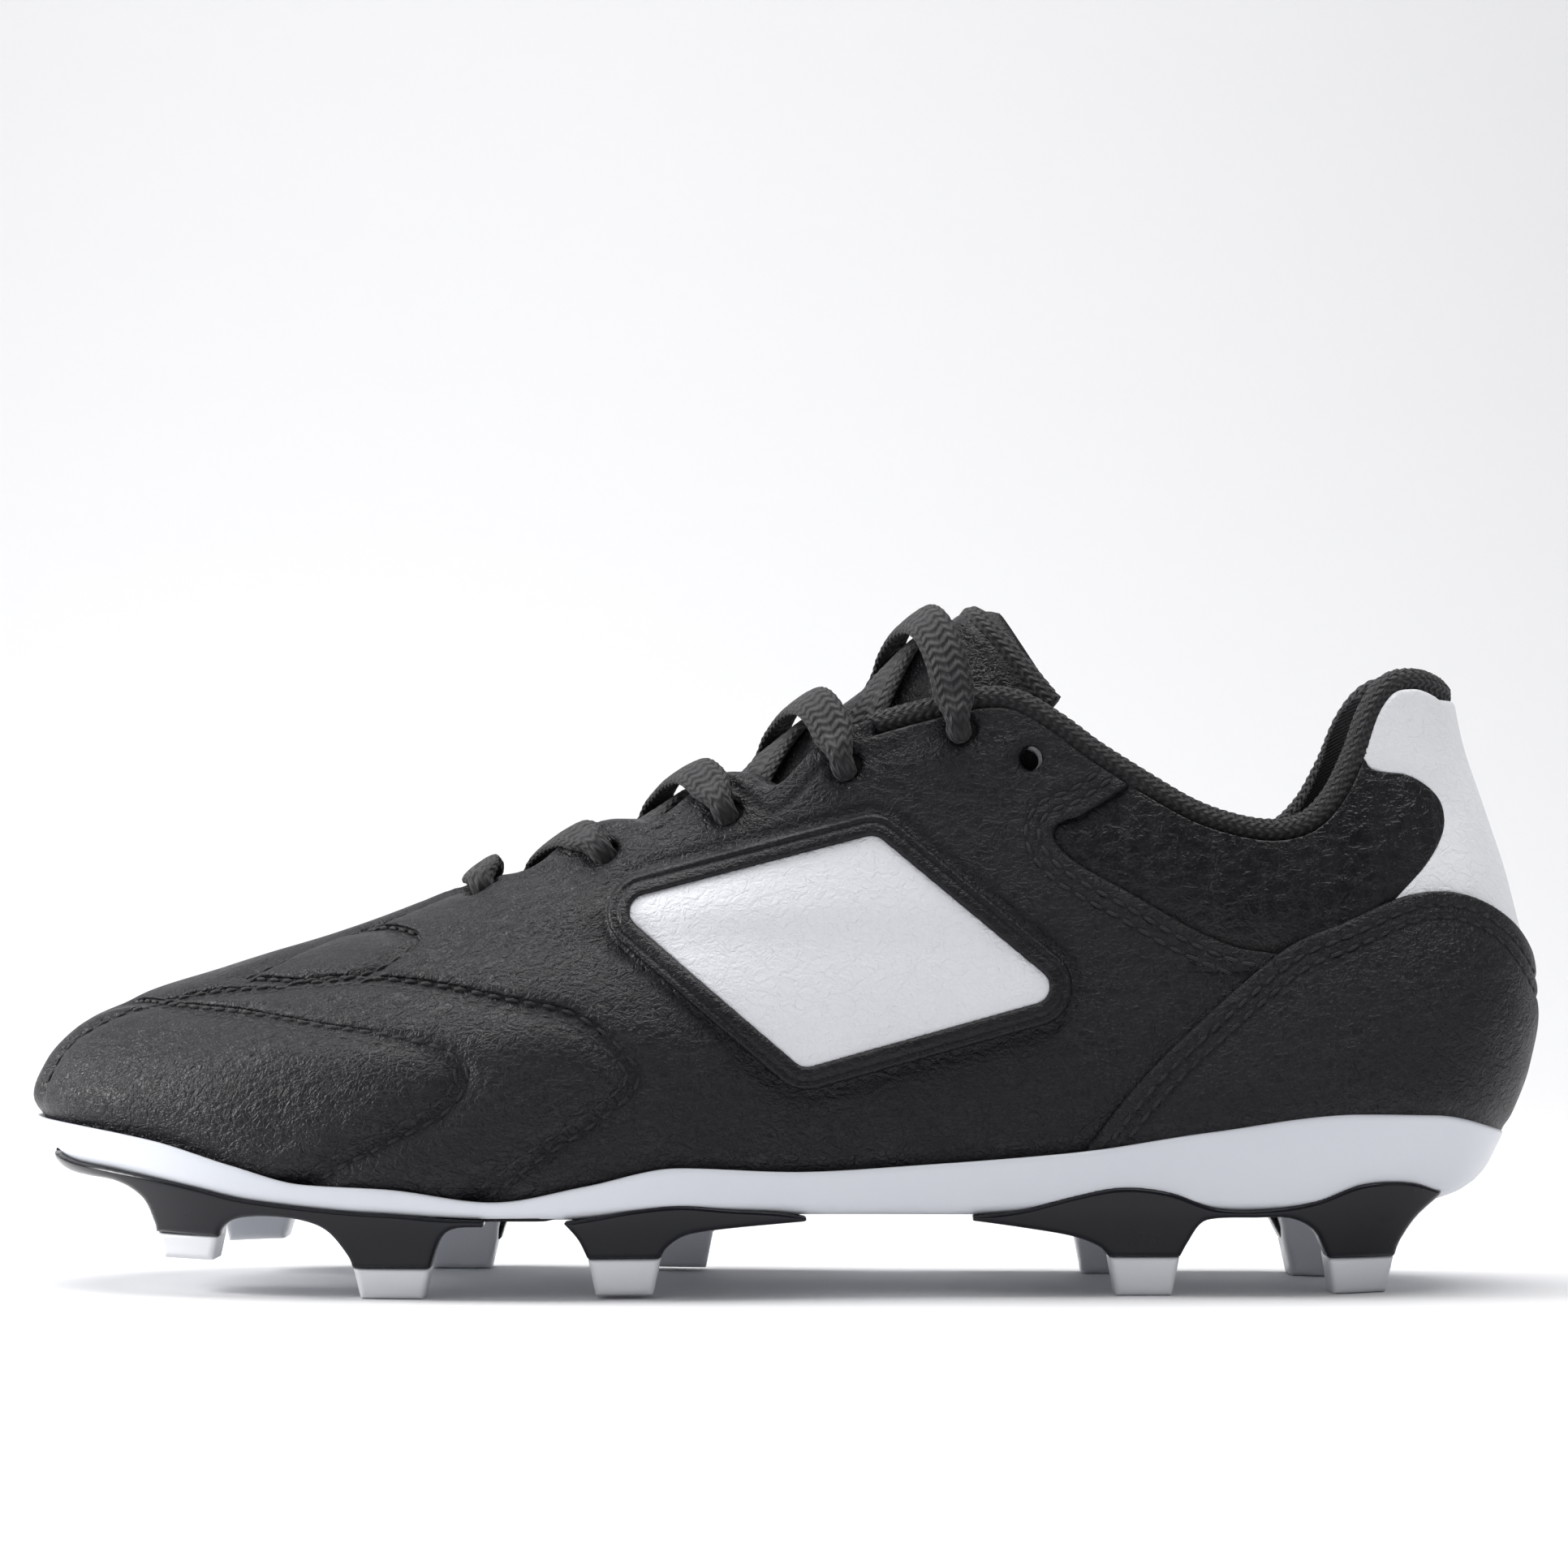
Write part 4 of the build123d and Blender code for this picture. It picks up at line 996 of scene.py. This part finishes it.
def stud(index, side):
    """White core with its tip: set back inside the black carrier, flush with it below the step."""
    front, back, top, tip = STUDS[index]
    shift = float(medial_shift(front)) if side > 0 else 0.0
    front, back = front + shift, back + shift
    under = float(underside_at((front + back) / 2)) + 1.0
    flare = 1.6
    outline = [(front + STUD_TAPER, tip), (front, top), (front - 0.1, top + 2), (front - flare, under),
               (back + flare, under), (back + 0.1, top + 2), (back, top), (back - STUD_TAPER, tip)]
    zone = inside_distance(outline)

    def region(points):
        return zone(points[:, 0], points[:, 2])

    def outer(points, distance):
        tucked = 2.6 / (1 + np.exp(-(points[:, 2] - top - 0.15) / 0.12))
        return -1.75 + edge_round(distance, 1.0) + tucked

    def inner(points, distance):
        spread = 2.4 * np.exp(-np.maximum(under - points[:, 2], 0) / 2.2)
        return STUD_BACK - edge_round(distance, 1.3) + spread

    xs = np.arange(front - 3, back + 3, 0.3)
    zs = np.arange(tip - 0.6, under + 0.6, 0.25)
    return sheet(f"stud_{index + 1}_{'lateral' if side < 0 else 'medial'}", wall(side), xs, zs, region, outer,
                 inner)


for side in (-1, 1):
    for index in range(len(STUDS)):
        finish_piece(stud(index, side), "shoe", "stud_white", "stud_white", "studs")


# ------------------------------------------------------------------ knit binding of the collar

def binding_path(spacing):
    """Centre of the collar roll, from one side round the heel to the other."""
    points = [(x, float(surface_y(x, z, -1, BINDING_DEPTH)), z) for x, z in BINDING_PATH]
    points.append((BINDING_REAR[0], CENTRELINE[-1][1], BINDING_REAR[1]))
    points += [(x, float(surface_y(x, z, 1, BINDING_DEPTH)), z) for x, z in reversed(BINDING_PATH)]
    return curve_through(points, spacing)


def knit_profile(radius, wales=9, pitch=1.5, depth=0.16):
    """Round profile with raised V-shaped ribs, closed softly at both ends."""
    def profile(share, angle, run):
        column = np.abs((angle / (2 * np.pi) * wales) % 1 - 0.5)
        ribs = np.sin(2 * np.pi * (run / pitch + column * 1.1))
        near_end = np.minimum(share, 1 - share) * 240
        close = np.sqrt(np.clip(1 - (1 - np.clip(near_end / 1.2, 0, 1)) ** 2, 0.25, 1))
        size = (radius + depth * ribs * np.abs(np.cos(np.pi * column)) - 0.15) * close
        return size * np.cos(angle), size * np.sin(angle)
    return profile


path = binding_path(0.36)
ups = normals_at(path)
binding = tube("collar_knit_binding", path, ups, knit_profile(BINDING_RADIUS), turns=54, pitch_uv=1.5)
finish_piece(binding, "shoe", "knit_black", "knit_black", "collar_binding")


# ------------------------------------------------------------------ lining, footbed

def lining_region(points):
    x, y, z = points.T
    return np.minimum.reduce([x - 23, -collar_region(0.8)(x, z), z - 19])


lining = sheet("ankle_lining_cloth", skin, np.linspace(0.2, 0.8, 420), np.arange(18, 99, 0.9),
               lining_region, lambda p, d: 4.6 - 0.35 * crease(p, 0.05, 0.05, 50.0), even(5.1))
finish_piece(lining, "shoe", "lining", "lining", "ankle_lining")


def footbed():
    """Loose footbed: dished, with a rounded edge that climbs a little at the heel."""
    turns = np.linspace(-0.5, 0.5, 360)
    rings = []
    for depth, lift in ((8.2, 0.25), (7.0, 0.7), (6.5, 1.6), (6.5, 3.2), (6.9, 3.9), (7.8, 4.1), (9.5, 3.9)):
        z = np.full(len(turns), 20.0)
        for _ in range(6):
            x = skin(turns, z, depth)[:, 0]
            z = underside_at(x) + 4.35 + lift
        rings.append(skin(turns, z, depth))
    edge = rings[-1]
    hub_x = np.clip(edge[:, 0], -80, 80)
    hub = np.stack([hub_x, centre_at(hub_x), edge[:, 2]], axis=-1)
    for share in np.linspace(0, 0.999, 22)[1:]:
        ring = edge + (hub - edge) * share
        heel_cup = 1.1 * np.exp(-(((ring[:, 0] - 78) / 22) ** 2)) * share
        ring[:, 2] = underside_at(ring[:, 0]) + 8.25 - 0.5 * share - heel_cup * 0.6
        rings.append(ring)
    base = rings[0].copy()
    for share in (0.3, 0.7, 0.999):
        ring = base + (hub - base) * share
        ring[:, 2] = underside_at(ring[:, 0]) + 4.6
        rings.insert(0, ring)
    faces = grid(np.arange(len(turns)), np.arange(len(rings)))[2]
    return new_mesh("footbed", np.array(rings).reshape(-1, 3), faces)


finish_piece(footbed(), "sockliner_pad", "sockliner_foam", "sockliner_foam", "sockliner")


# ------------------------------------------------------------------ tongue

tongue_zone = inside_distance(TONGUE_OUTLINE)
TONGUE_FACE = 5.0
TONGUE_BACK = 9.3
TONGUE_END = [(43, 92), (22.2, 118)]


def tongue_region(points):
    x, y, z = points.T
    half = np.interp(x, [-50, -20, 10, 30], [13, 17, 17.3, 15.5])
    return np.minimum(tongue_zone(x, z) - 1.5, half - np.abs(y - CENTRELINE[-1][1]))


def tongue_outer(points, distance):
    pillow = 0.35 * np.exp(-((points[:, 1] + 2.2) / 9) ** 2)
    return TONGUE_FACE + edge_round(distance, 1.6) - pillow - 0.25 * crease(points, 0.1, 0.1, 70.0)


def tongue_inner(points, distance):
    return TONGUE_BACK - edge_round(distance, 1.6)


def deep_skin(u, v, inset=None):
    return skin(u, v, TONGUE_FACE if inset is None else inset)


tongue = sheet("tongue_skin", deep_skin, np.linspace(-0.2, 0.2, 300), np.arange(46, 119, 0.4), tongue_region,
               tongue_outer, tongue_inner)
finish_piece(tongue, None, "synthetic_black", "synthetic_black", "tongue_face_lower", "tongue_face_top",
             "tongue_foam_lower", "tongue_foam_top", "tongue_lining_lower", "tongue_lining_top")


def tongue_end_path(spacing):
    """Line along the free end of the tongue, from one side over the ridge to the other."""
    (x0, z0), (x1, z1) = TONGUE_END
    turns = np.linspace(-0.2, 0.2, 161)
    low, high = np.full(len(turns), 70.0), np.full(len(turns), 122.0)
    for _ in range(40):
        z = (low + high) / 2
        x = skin(turns, z, 7.1)[:, 0]
        past = (x - x0) * (z1 - z0) - (z - z0) * (x1 - x0) > 0
        low, high = np.where(past, low, z), np.where(past, z, high)
    points = skin(turns, (low + high) / 2, 7.1)
    keep = np.abs(points[:, 1] - CENTRELINE[-1][1]) < 14.0
    return evenly(points[keep], spacing)


path = tongue_end_path(0.36)
inward = np.array([-0.78, 0, -0.62]) * 1.6
path = path + inward
tongue_edge = tube("tongue_knit_binding", path, normals_at(path), knit_profile(2.5), turns=48, pitch_uv=1.5)
finish_piece(tongue_edge, "tongue_top_part", "knit_black", "knit_black", "tongue_binding")

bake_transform(tongue)


# ------------------------------------------------------------------ lace

LACE_HALF_WIDTH = 3.3
LACE_HALF_THICKNESS = 0.85
BUNCHED = 1.85
EYELET_APPROACH = 2.3
LACE_DIVE = (0.35, -1.6, -4.2)


def surface_height(x, y):
    """Level of the surface over a plan position."""
    side = np.where(y < centre_at(x), -1, 1)
    low, high = np.full(len(x), 45.0), np.full(len(x), 118.0)
    for _ in range(40):
        z = (low + high) / 2
        reach_y = np.abs(surface_y(x, z, side) - centre_at(x))
        inside = (front_at(z) < x) & (reach_y > np.abs(y - centre_at(x)))
        low, high = np.where(inside, z, low), np.where(inside, high, z)
    return low


def strand_path(start, finish, depths, dive_start, dive_finish):
    """Path between two eyelets at given heights over the surface, diving through an eyelet at its ends."""
    share = np.linspace(0, 1, 400)
    line = start + (finish - start) * share[:, None]
    base = np.stack([line[:, 0], line[:, 1], surface_height(line[:, 0], line[:, 1])], axis=-1)
    normal = normals_at(base)
    near = np.clip(1 - np.abs(line[:, 1] - centre_at(line[:, 0])) / 8, 0, 1)[:, None]
    normal = normal * (1 - near) + np.array([-0.6, 0, 0.8]) * near
    normal /= np.linalg.norm(normal, axis=1, keepdims=True)
    points = base + normal * smooth(depths)(share)[:, None]
    both = evenly(np.hstack([points, normal]), 1.0)
    if dive_start:
        both = np.vstack([dive(start)[::-1], beyond(both, start)])
    if dive_finish:
        both = np.vstack([beyond(both, finish), dive(finish)])
    return both


def beyond(both, eyelet):
    """Part of a path that stays clear of an eyelet."""
    return both[np.linalg.norm(both[:, :3] - eyelet, axis=1) > EYELET_APPROACH]


def dive(eyelet):
    """Points straight down through an eyelet, with the normal there."""
    up = normals_at(eyelet[None])[0]
    return np.array([np.hstack([eyelet + up * height, up]) for height in LACE_DIVE])


def strand(name, start, finish, depths, dive_start=False, dive_finish=True):
    """Flat braid between two eyelets that bunches up where it goes through one."""
    smooth_line = curve_through(strand_path(start, finish, depths, dive_start, dive_finish), 0.4)
    path, ups = smooth_line[:, :3], smooth_line[:, 3:]
    for _ in range(3):
        path[1:-1] = (path[:-2] + 2 * path[1:-1] + path[2:]) / 4
    along = np.gradient(path, axis=0)
    along /= np.linalg.norm(along, axis=1, keepdims=True)
    across = np.cross(along, ups)
    weight = np.linalg.norm(across, axis=1)
    flat = across[len(across) // 2] / weight[len(across) // 2]
    across = np.where(weight[:, None] > 0.45, across / np.maximum(weight[:, None], 1e-6), flat)
    for _ in range(12):
        across[1:-1] = (across[:-2] + across[1:-1] + across[2:]) / 3
    ups = np.cross(across, along)
    to_end = np.linalg.norm(path - finish, axis=1)
    to_start = np.linalg.norm(path - start, axis=1)
    narrow = np.ones(len(path))
    if dive_finish:
        narrow = np.minimum(narrow, np.clip((to_end - 1.2) / 5.0, 0, 1))
    if dive_start:
        narrow = np.minimum(narrow, np.clip((to_start - 1.2) / 5.0, 0, 1))
    narrow = narrow * narrow * (3 - 2 * narrow)

    def profile(share, angle, run):
        wide = BUNCHED + (LACE_HALF_WIDTH - BUNCHED) * narrow[:, None]
        thick = BUNCHED + (LACE_HALF_THICKNESS - BUNCHED) * narrow[:, None]
        column = np.abs((angle / (2 * np.pi) * 8) % 1 - 0.5)
        ribs = 0.07 * np.sin(2 * np.pi * (run / 1.7 + column))
        c, s = np.cos(angle), np.sin(angle)
        return (wide + ribs) * np.sign(c) * np.abs(c) ** 0.8, (thick + ribs) * np.sign(s) * np.abs(s) ** 0.8

    return tube(name, path, ups, profile, turns=48, pitch_uv=1.7)


# Heights over the surface along a strand: (share of the way, mm).
HIDDEN = -3.9
OVER = [(0, 1.3), (0.5, 1.9), (1, 1.3)]
LOW_CROSS = [(0, HIDDEN), (0.35, -4.0), (0.58, -3.7), (0.74, -1.8), (0.86, 1.0), (1, 1.15)]
HIGH_CROSS = [(0, HIDDEN), (0.24, -3.9), (0.38, -1.9), (0.52, -0.9), (0.66, 0.1), (0.8, 1.1), (1, 1.2)]
strands = [strand("lace_bar", eyelet_centres[0, -1], eyelet_centres[0, 1], OVER, True, True)]
for row in range(LACED_ROWS - 1):
    for side, heights, way in ((-1, LOW_CROSS, "under"), (1, HIGH_CROSS, "over")):
        strands.append(strand(f"lace_{way}_{row + 1}", eyelet_centres[row, side],
                              eyelet_centres[row + 1, -side], heights))
for obj in strands:
    finish_piece(obj, "shoe", "lace_black", "lace_black", "lace")


# ------------------------------------------------------------------ stitching

def stitches(name, rows, seed):
    """Rows of thread stitches; each row is (points on the surface, normals)."""
    random.seed(seed)
    rings = [(-0.5, 0.35), (-0.38, 0.8), (0.0, 1.0), (0.38, 0.8), (0.5, 0.35)]
    sides = 7
    points, faces, uv = [], [], []
    for path, normal in rows:
        step = max(1, int(round(STITCH_PITCH / np.linalg.norm(path[1] - path[0]))))
        for i in range(step // 2, len(path) - step // 2, step):
            along = path[min(i + 2, len(path) - 1)] - path[max(i - 2, 0)]
            along = along / np.linalg.norm(along)
            up = normal[i] / np.linalg.norm(normal[i])
            across = np.cross(along, up)
            along = along + across * random.uniform(-0.06, 0.06)
            start = len(points)
            for reach_along, size in rings:
                dip = -0.22 * (abs(reach_along) / 0.5) ** 3
                for k in range(sides):
                    angle = 2 * math.pi * k / sides
                    radius = STITCH_RADIUS * size
                    points.append(path[i] + along * reach_along * STITCH_LENGTH + up * dip
                                  + across * radius * math.cos(angle) + up * radius * math.sin(angle))
                    uv.append((k / sides, reach_along * 3))
            for r in range(len(rings) - 1):
                for k in range(sides):
                    a, b = start + r * sides + k, start + r * sides + (k + 1) % sides
                    faces.append([a, b, b + sides, a + sides])
            last_ring = start + (len(rings) - 1) * sides
            faces.append([start + k for k in reversed(range(sides))])
            faces.append([last_ring + k for k in range(sides)])
    return new_mesh(name, points, faces, uv)


def offset_row(path, sideways):
    """Row beside a seam line, on the raised or sunken skin."""
    normal = normals_at(path)
    along = np.gradient(path, axis=0)
    along /= np.linalg.norm(along, axis=1, keepdims=True)
    row = projected(path + np.cross(along, normal) * sideways)
    normal = normals_at(row)
    lift = skin_height(row) + STITCH_RADIUS * 0.45
    return row + normal * lift[:, None], normal


def above_rim(points, normal):
    """Part of a row that the rim of the sole doesn't cover."""
    use = points[:, 2] > rim_top_at(points[:, 0]) + 0.3
    return points[use], normal[use]


vamp_rows = [offset_row(path, s * ROW_OFFSET) for path in seams for s in (-1, 1)]
vamp_rows = [above_rim(*row) for row in vamp_rows]
vamp_thread = stitches("vamp_stitching", vamp_rows, 5)
finish_piece(vamp_thread, "shoe", "thread_black", "lace_black")


def side_rows(edge, offsets, lift, keep):
    """Rows parallel to a side-view edge, on both sides of the shoe."""
    rows = []
    line = curve_through(edge, 0.4)
    along = np.gradient(line, axis=0)
    along /= np.linalg.norm(along, axis=1, keepdims=True)
    outward = np.stack([along[:, 1], -along[:, 0]], axis=-1)
    for offset in offsets:
        x, z = (line + outward * offset).T
        use = keep(x, z)
        for side in (-1, 1):
            points = np.stack([x, surface_y(x, z, side), z], axis=-1)[use]
            normal = normals_at(points)
            rows.append((evenly(points + normal * lift(points)[:, None], 0.4), normal))
    return [(p, np.stack([np.interp(np.linspace(0, 1, len(p)), np.linspace(0, 1, len(n)), n[:, k])
                          for k in range(3)], axis=-1)) for p, n in rows]


def quarter_lift_at(points):
    return skin_height(points) + STITCH_RADIUS * 0.4


quarter_rows = side_rows(QUARTER_EDGE[1:-1], QUARTER_ROWS, quarter_lift_at,
                         lambda x, z: (collar_opening(x, z) < -0.5) & (foxing_zone(x, z) < -0.5) & (x < 78))
finish_piece(stitches("quarter_stitching", quarter_rows, 6), "shoe", "thread_black", "lace_black")


def foxing_lift(points):
    return np.full(len(points), 1.1 - 0.3 + STITCH_RADIUS * 0.5)


foxing_rows = side_rows(FOXING_EDGE, FOXING_ROWS, foxing_lift,
                        lambda x, z: (z > rim_top_at(x) + 1) & (x < back_at(z) - 0.4))
finish_piece(stitches("foxing_stitching", foxing_rows, 7), "shoe", "thread_black", "lace_black")


# ------------------------------------------------------------------ pieces kept from the CAD model

for row in frame["record"]["subparts"]:
    node = frame["nodes"][row["node"]]
    if not node.hide_render:
        dress(node, row["material_slot"])


# ------------------------------------------------------------------ floor, light, camera

def studio():
    """Pale floor that sweeps up into a wall behind the shoe (metres)."""
    size, wall_height, bend_start, bend = 3.0, 2.0, 0.7, 0.6
    steps = [(-size / 2, 0.0), (bend_start, 0.0)]
    for k in range(1, 13):
        angle = math.pi / 2 * k / 12
        steps.append((bend_start + bend * math.sin(angle), bend - bend * math.cos(angle)))
    steps.append((bend_start + bend, wall_height))
    points, faces = [], []
    for k, (y, z) in enumerate(steps):
        points += [(-size / 2, y, z), (size / 2, y, z)]
        if k:
            faces.append([2 * k - 2, 2 * k - 1, 2 * k + 1, 2 * k])
    floor = new_mesh("studio_floor", np.array(points) / MM, faces)
    finish = Finish("pale_floor", colour(0.86, 0.86, 0.87), 0.6, specular=0.2)
    finish.vary_roughness(finish.noise(0.002, 2), 0.55, 0.7)
    floor.data.materials.append(finish.material)


def area_light(name, place, size, power, target=(0, 0, 0.05)):
    light = bpy.data.lights.new(name, "AREA")
    light.shape = "RECTANGLE"
    light.size, light.size_y = size
    light.energy = power
    obj = bpy.data.objects.new(name, light)
    obj.location = place
    obj.rotation_euler = (Vector(target) - Vector(place)).to_track_quat("-Z", "Y").to_euler()
    bpy.context.scene.collection.objects.link(obj)


CAMERA_LENS = 100.3
CAMERA_PLACE = (0, -0.700, 0.0519)
FRAME_RISE = 0.1108


def camera():
    """Level view from the lateral side, framed above the lens so that the ground stays level."""
    data = bpy.data.cameras.new("camera")
    data.sensor_width = 36
    data.lens = CAMERA_LENS
    data.shift_y = FRAME_RISE
    obj = bpy.data.objects.new("camera", data)
    obj.location = CAMERA_PLACE
    obj.rotation_euler = (math.radians(90), 0, 0)
    bpy.context.scene.collection.objects.link(obj)
    bpy.context.scene.camera = obj


WORLD_AS_LIGHT = 0.18
WORLD_AS_BACKDROP = 1.05


def studio_world():
    """White backdrop to the camera, a dimmer one as a light source."""
    world = bpy.data.worlds.new("studio_world")
    world.use_nodes = True
    nodes, links = world.node_tree.nodes, world.node_tree.links
    background = nodes["Background"]
    background.inputs["Color"].default_value = colour(0.95, 0.96, 1.0)
    seen = nodes.new("ShaderNodeLightPath")
    strength = nodes.new("ShaderNodeMapRange")
    strength.inputs["To Min"].default_value = WORLD_AS_LIGHT
    strength.inputs["To Max"].default_value = WORLD_AS_BACKDROP
    links.new(seen.outputs["Is Camera Ray"], strength.inputs["Value"])
    links.new(strength.outputs["Result"], background.inputs["Strength"])
    bpy.context.scene.world = world


studio()
area_light("key_light", (-0.55, -0.75, 0.95), size=(0.9, 0.7), power=2.2)
area_light("top_light", (0.05, 0.15, 1.2), size=(1.3, 0.9), power=18)
area_light("fill_light", (0.95, -0.55, 0.45), size=(0.6, 0.8), power=0.9)
area_light("toe_light", (-0.95, 0.1, 0.45), size=(0.35, 0.5), power=11.0)
studio_world()
bpy.context.scene.view_settings.view_transform = "Standard"
camera()

bpy.context.view_layer.update()
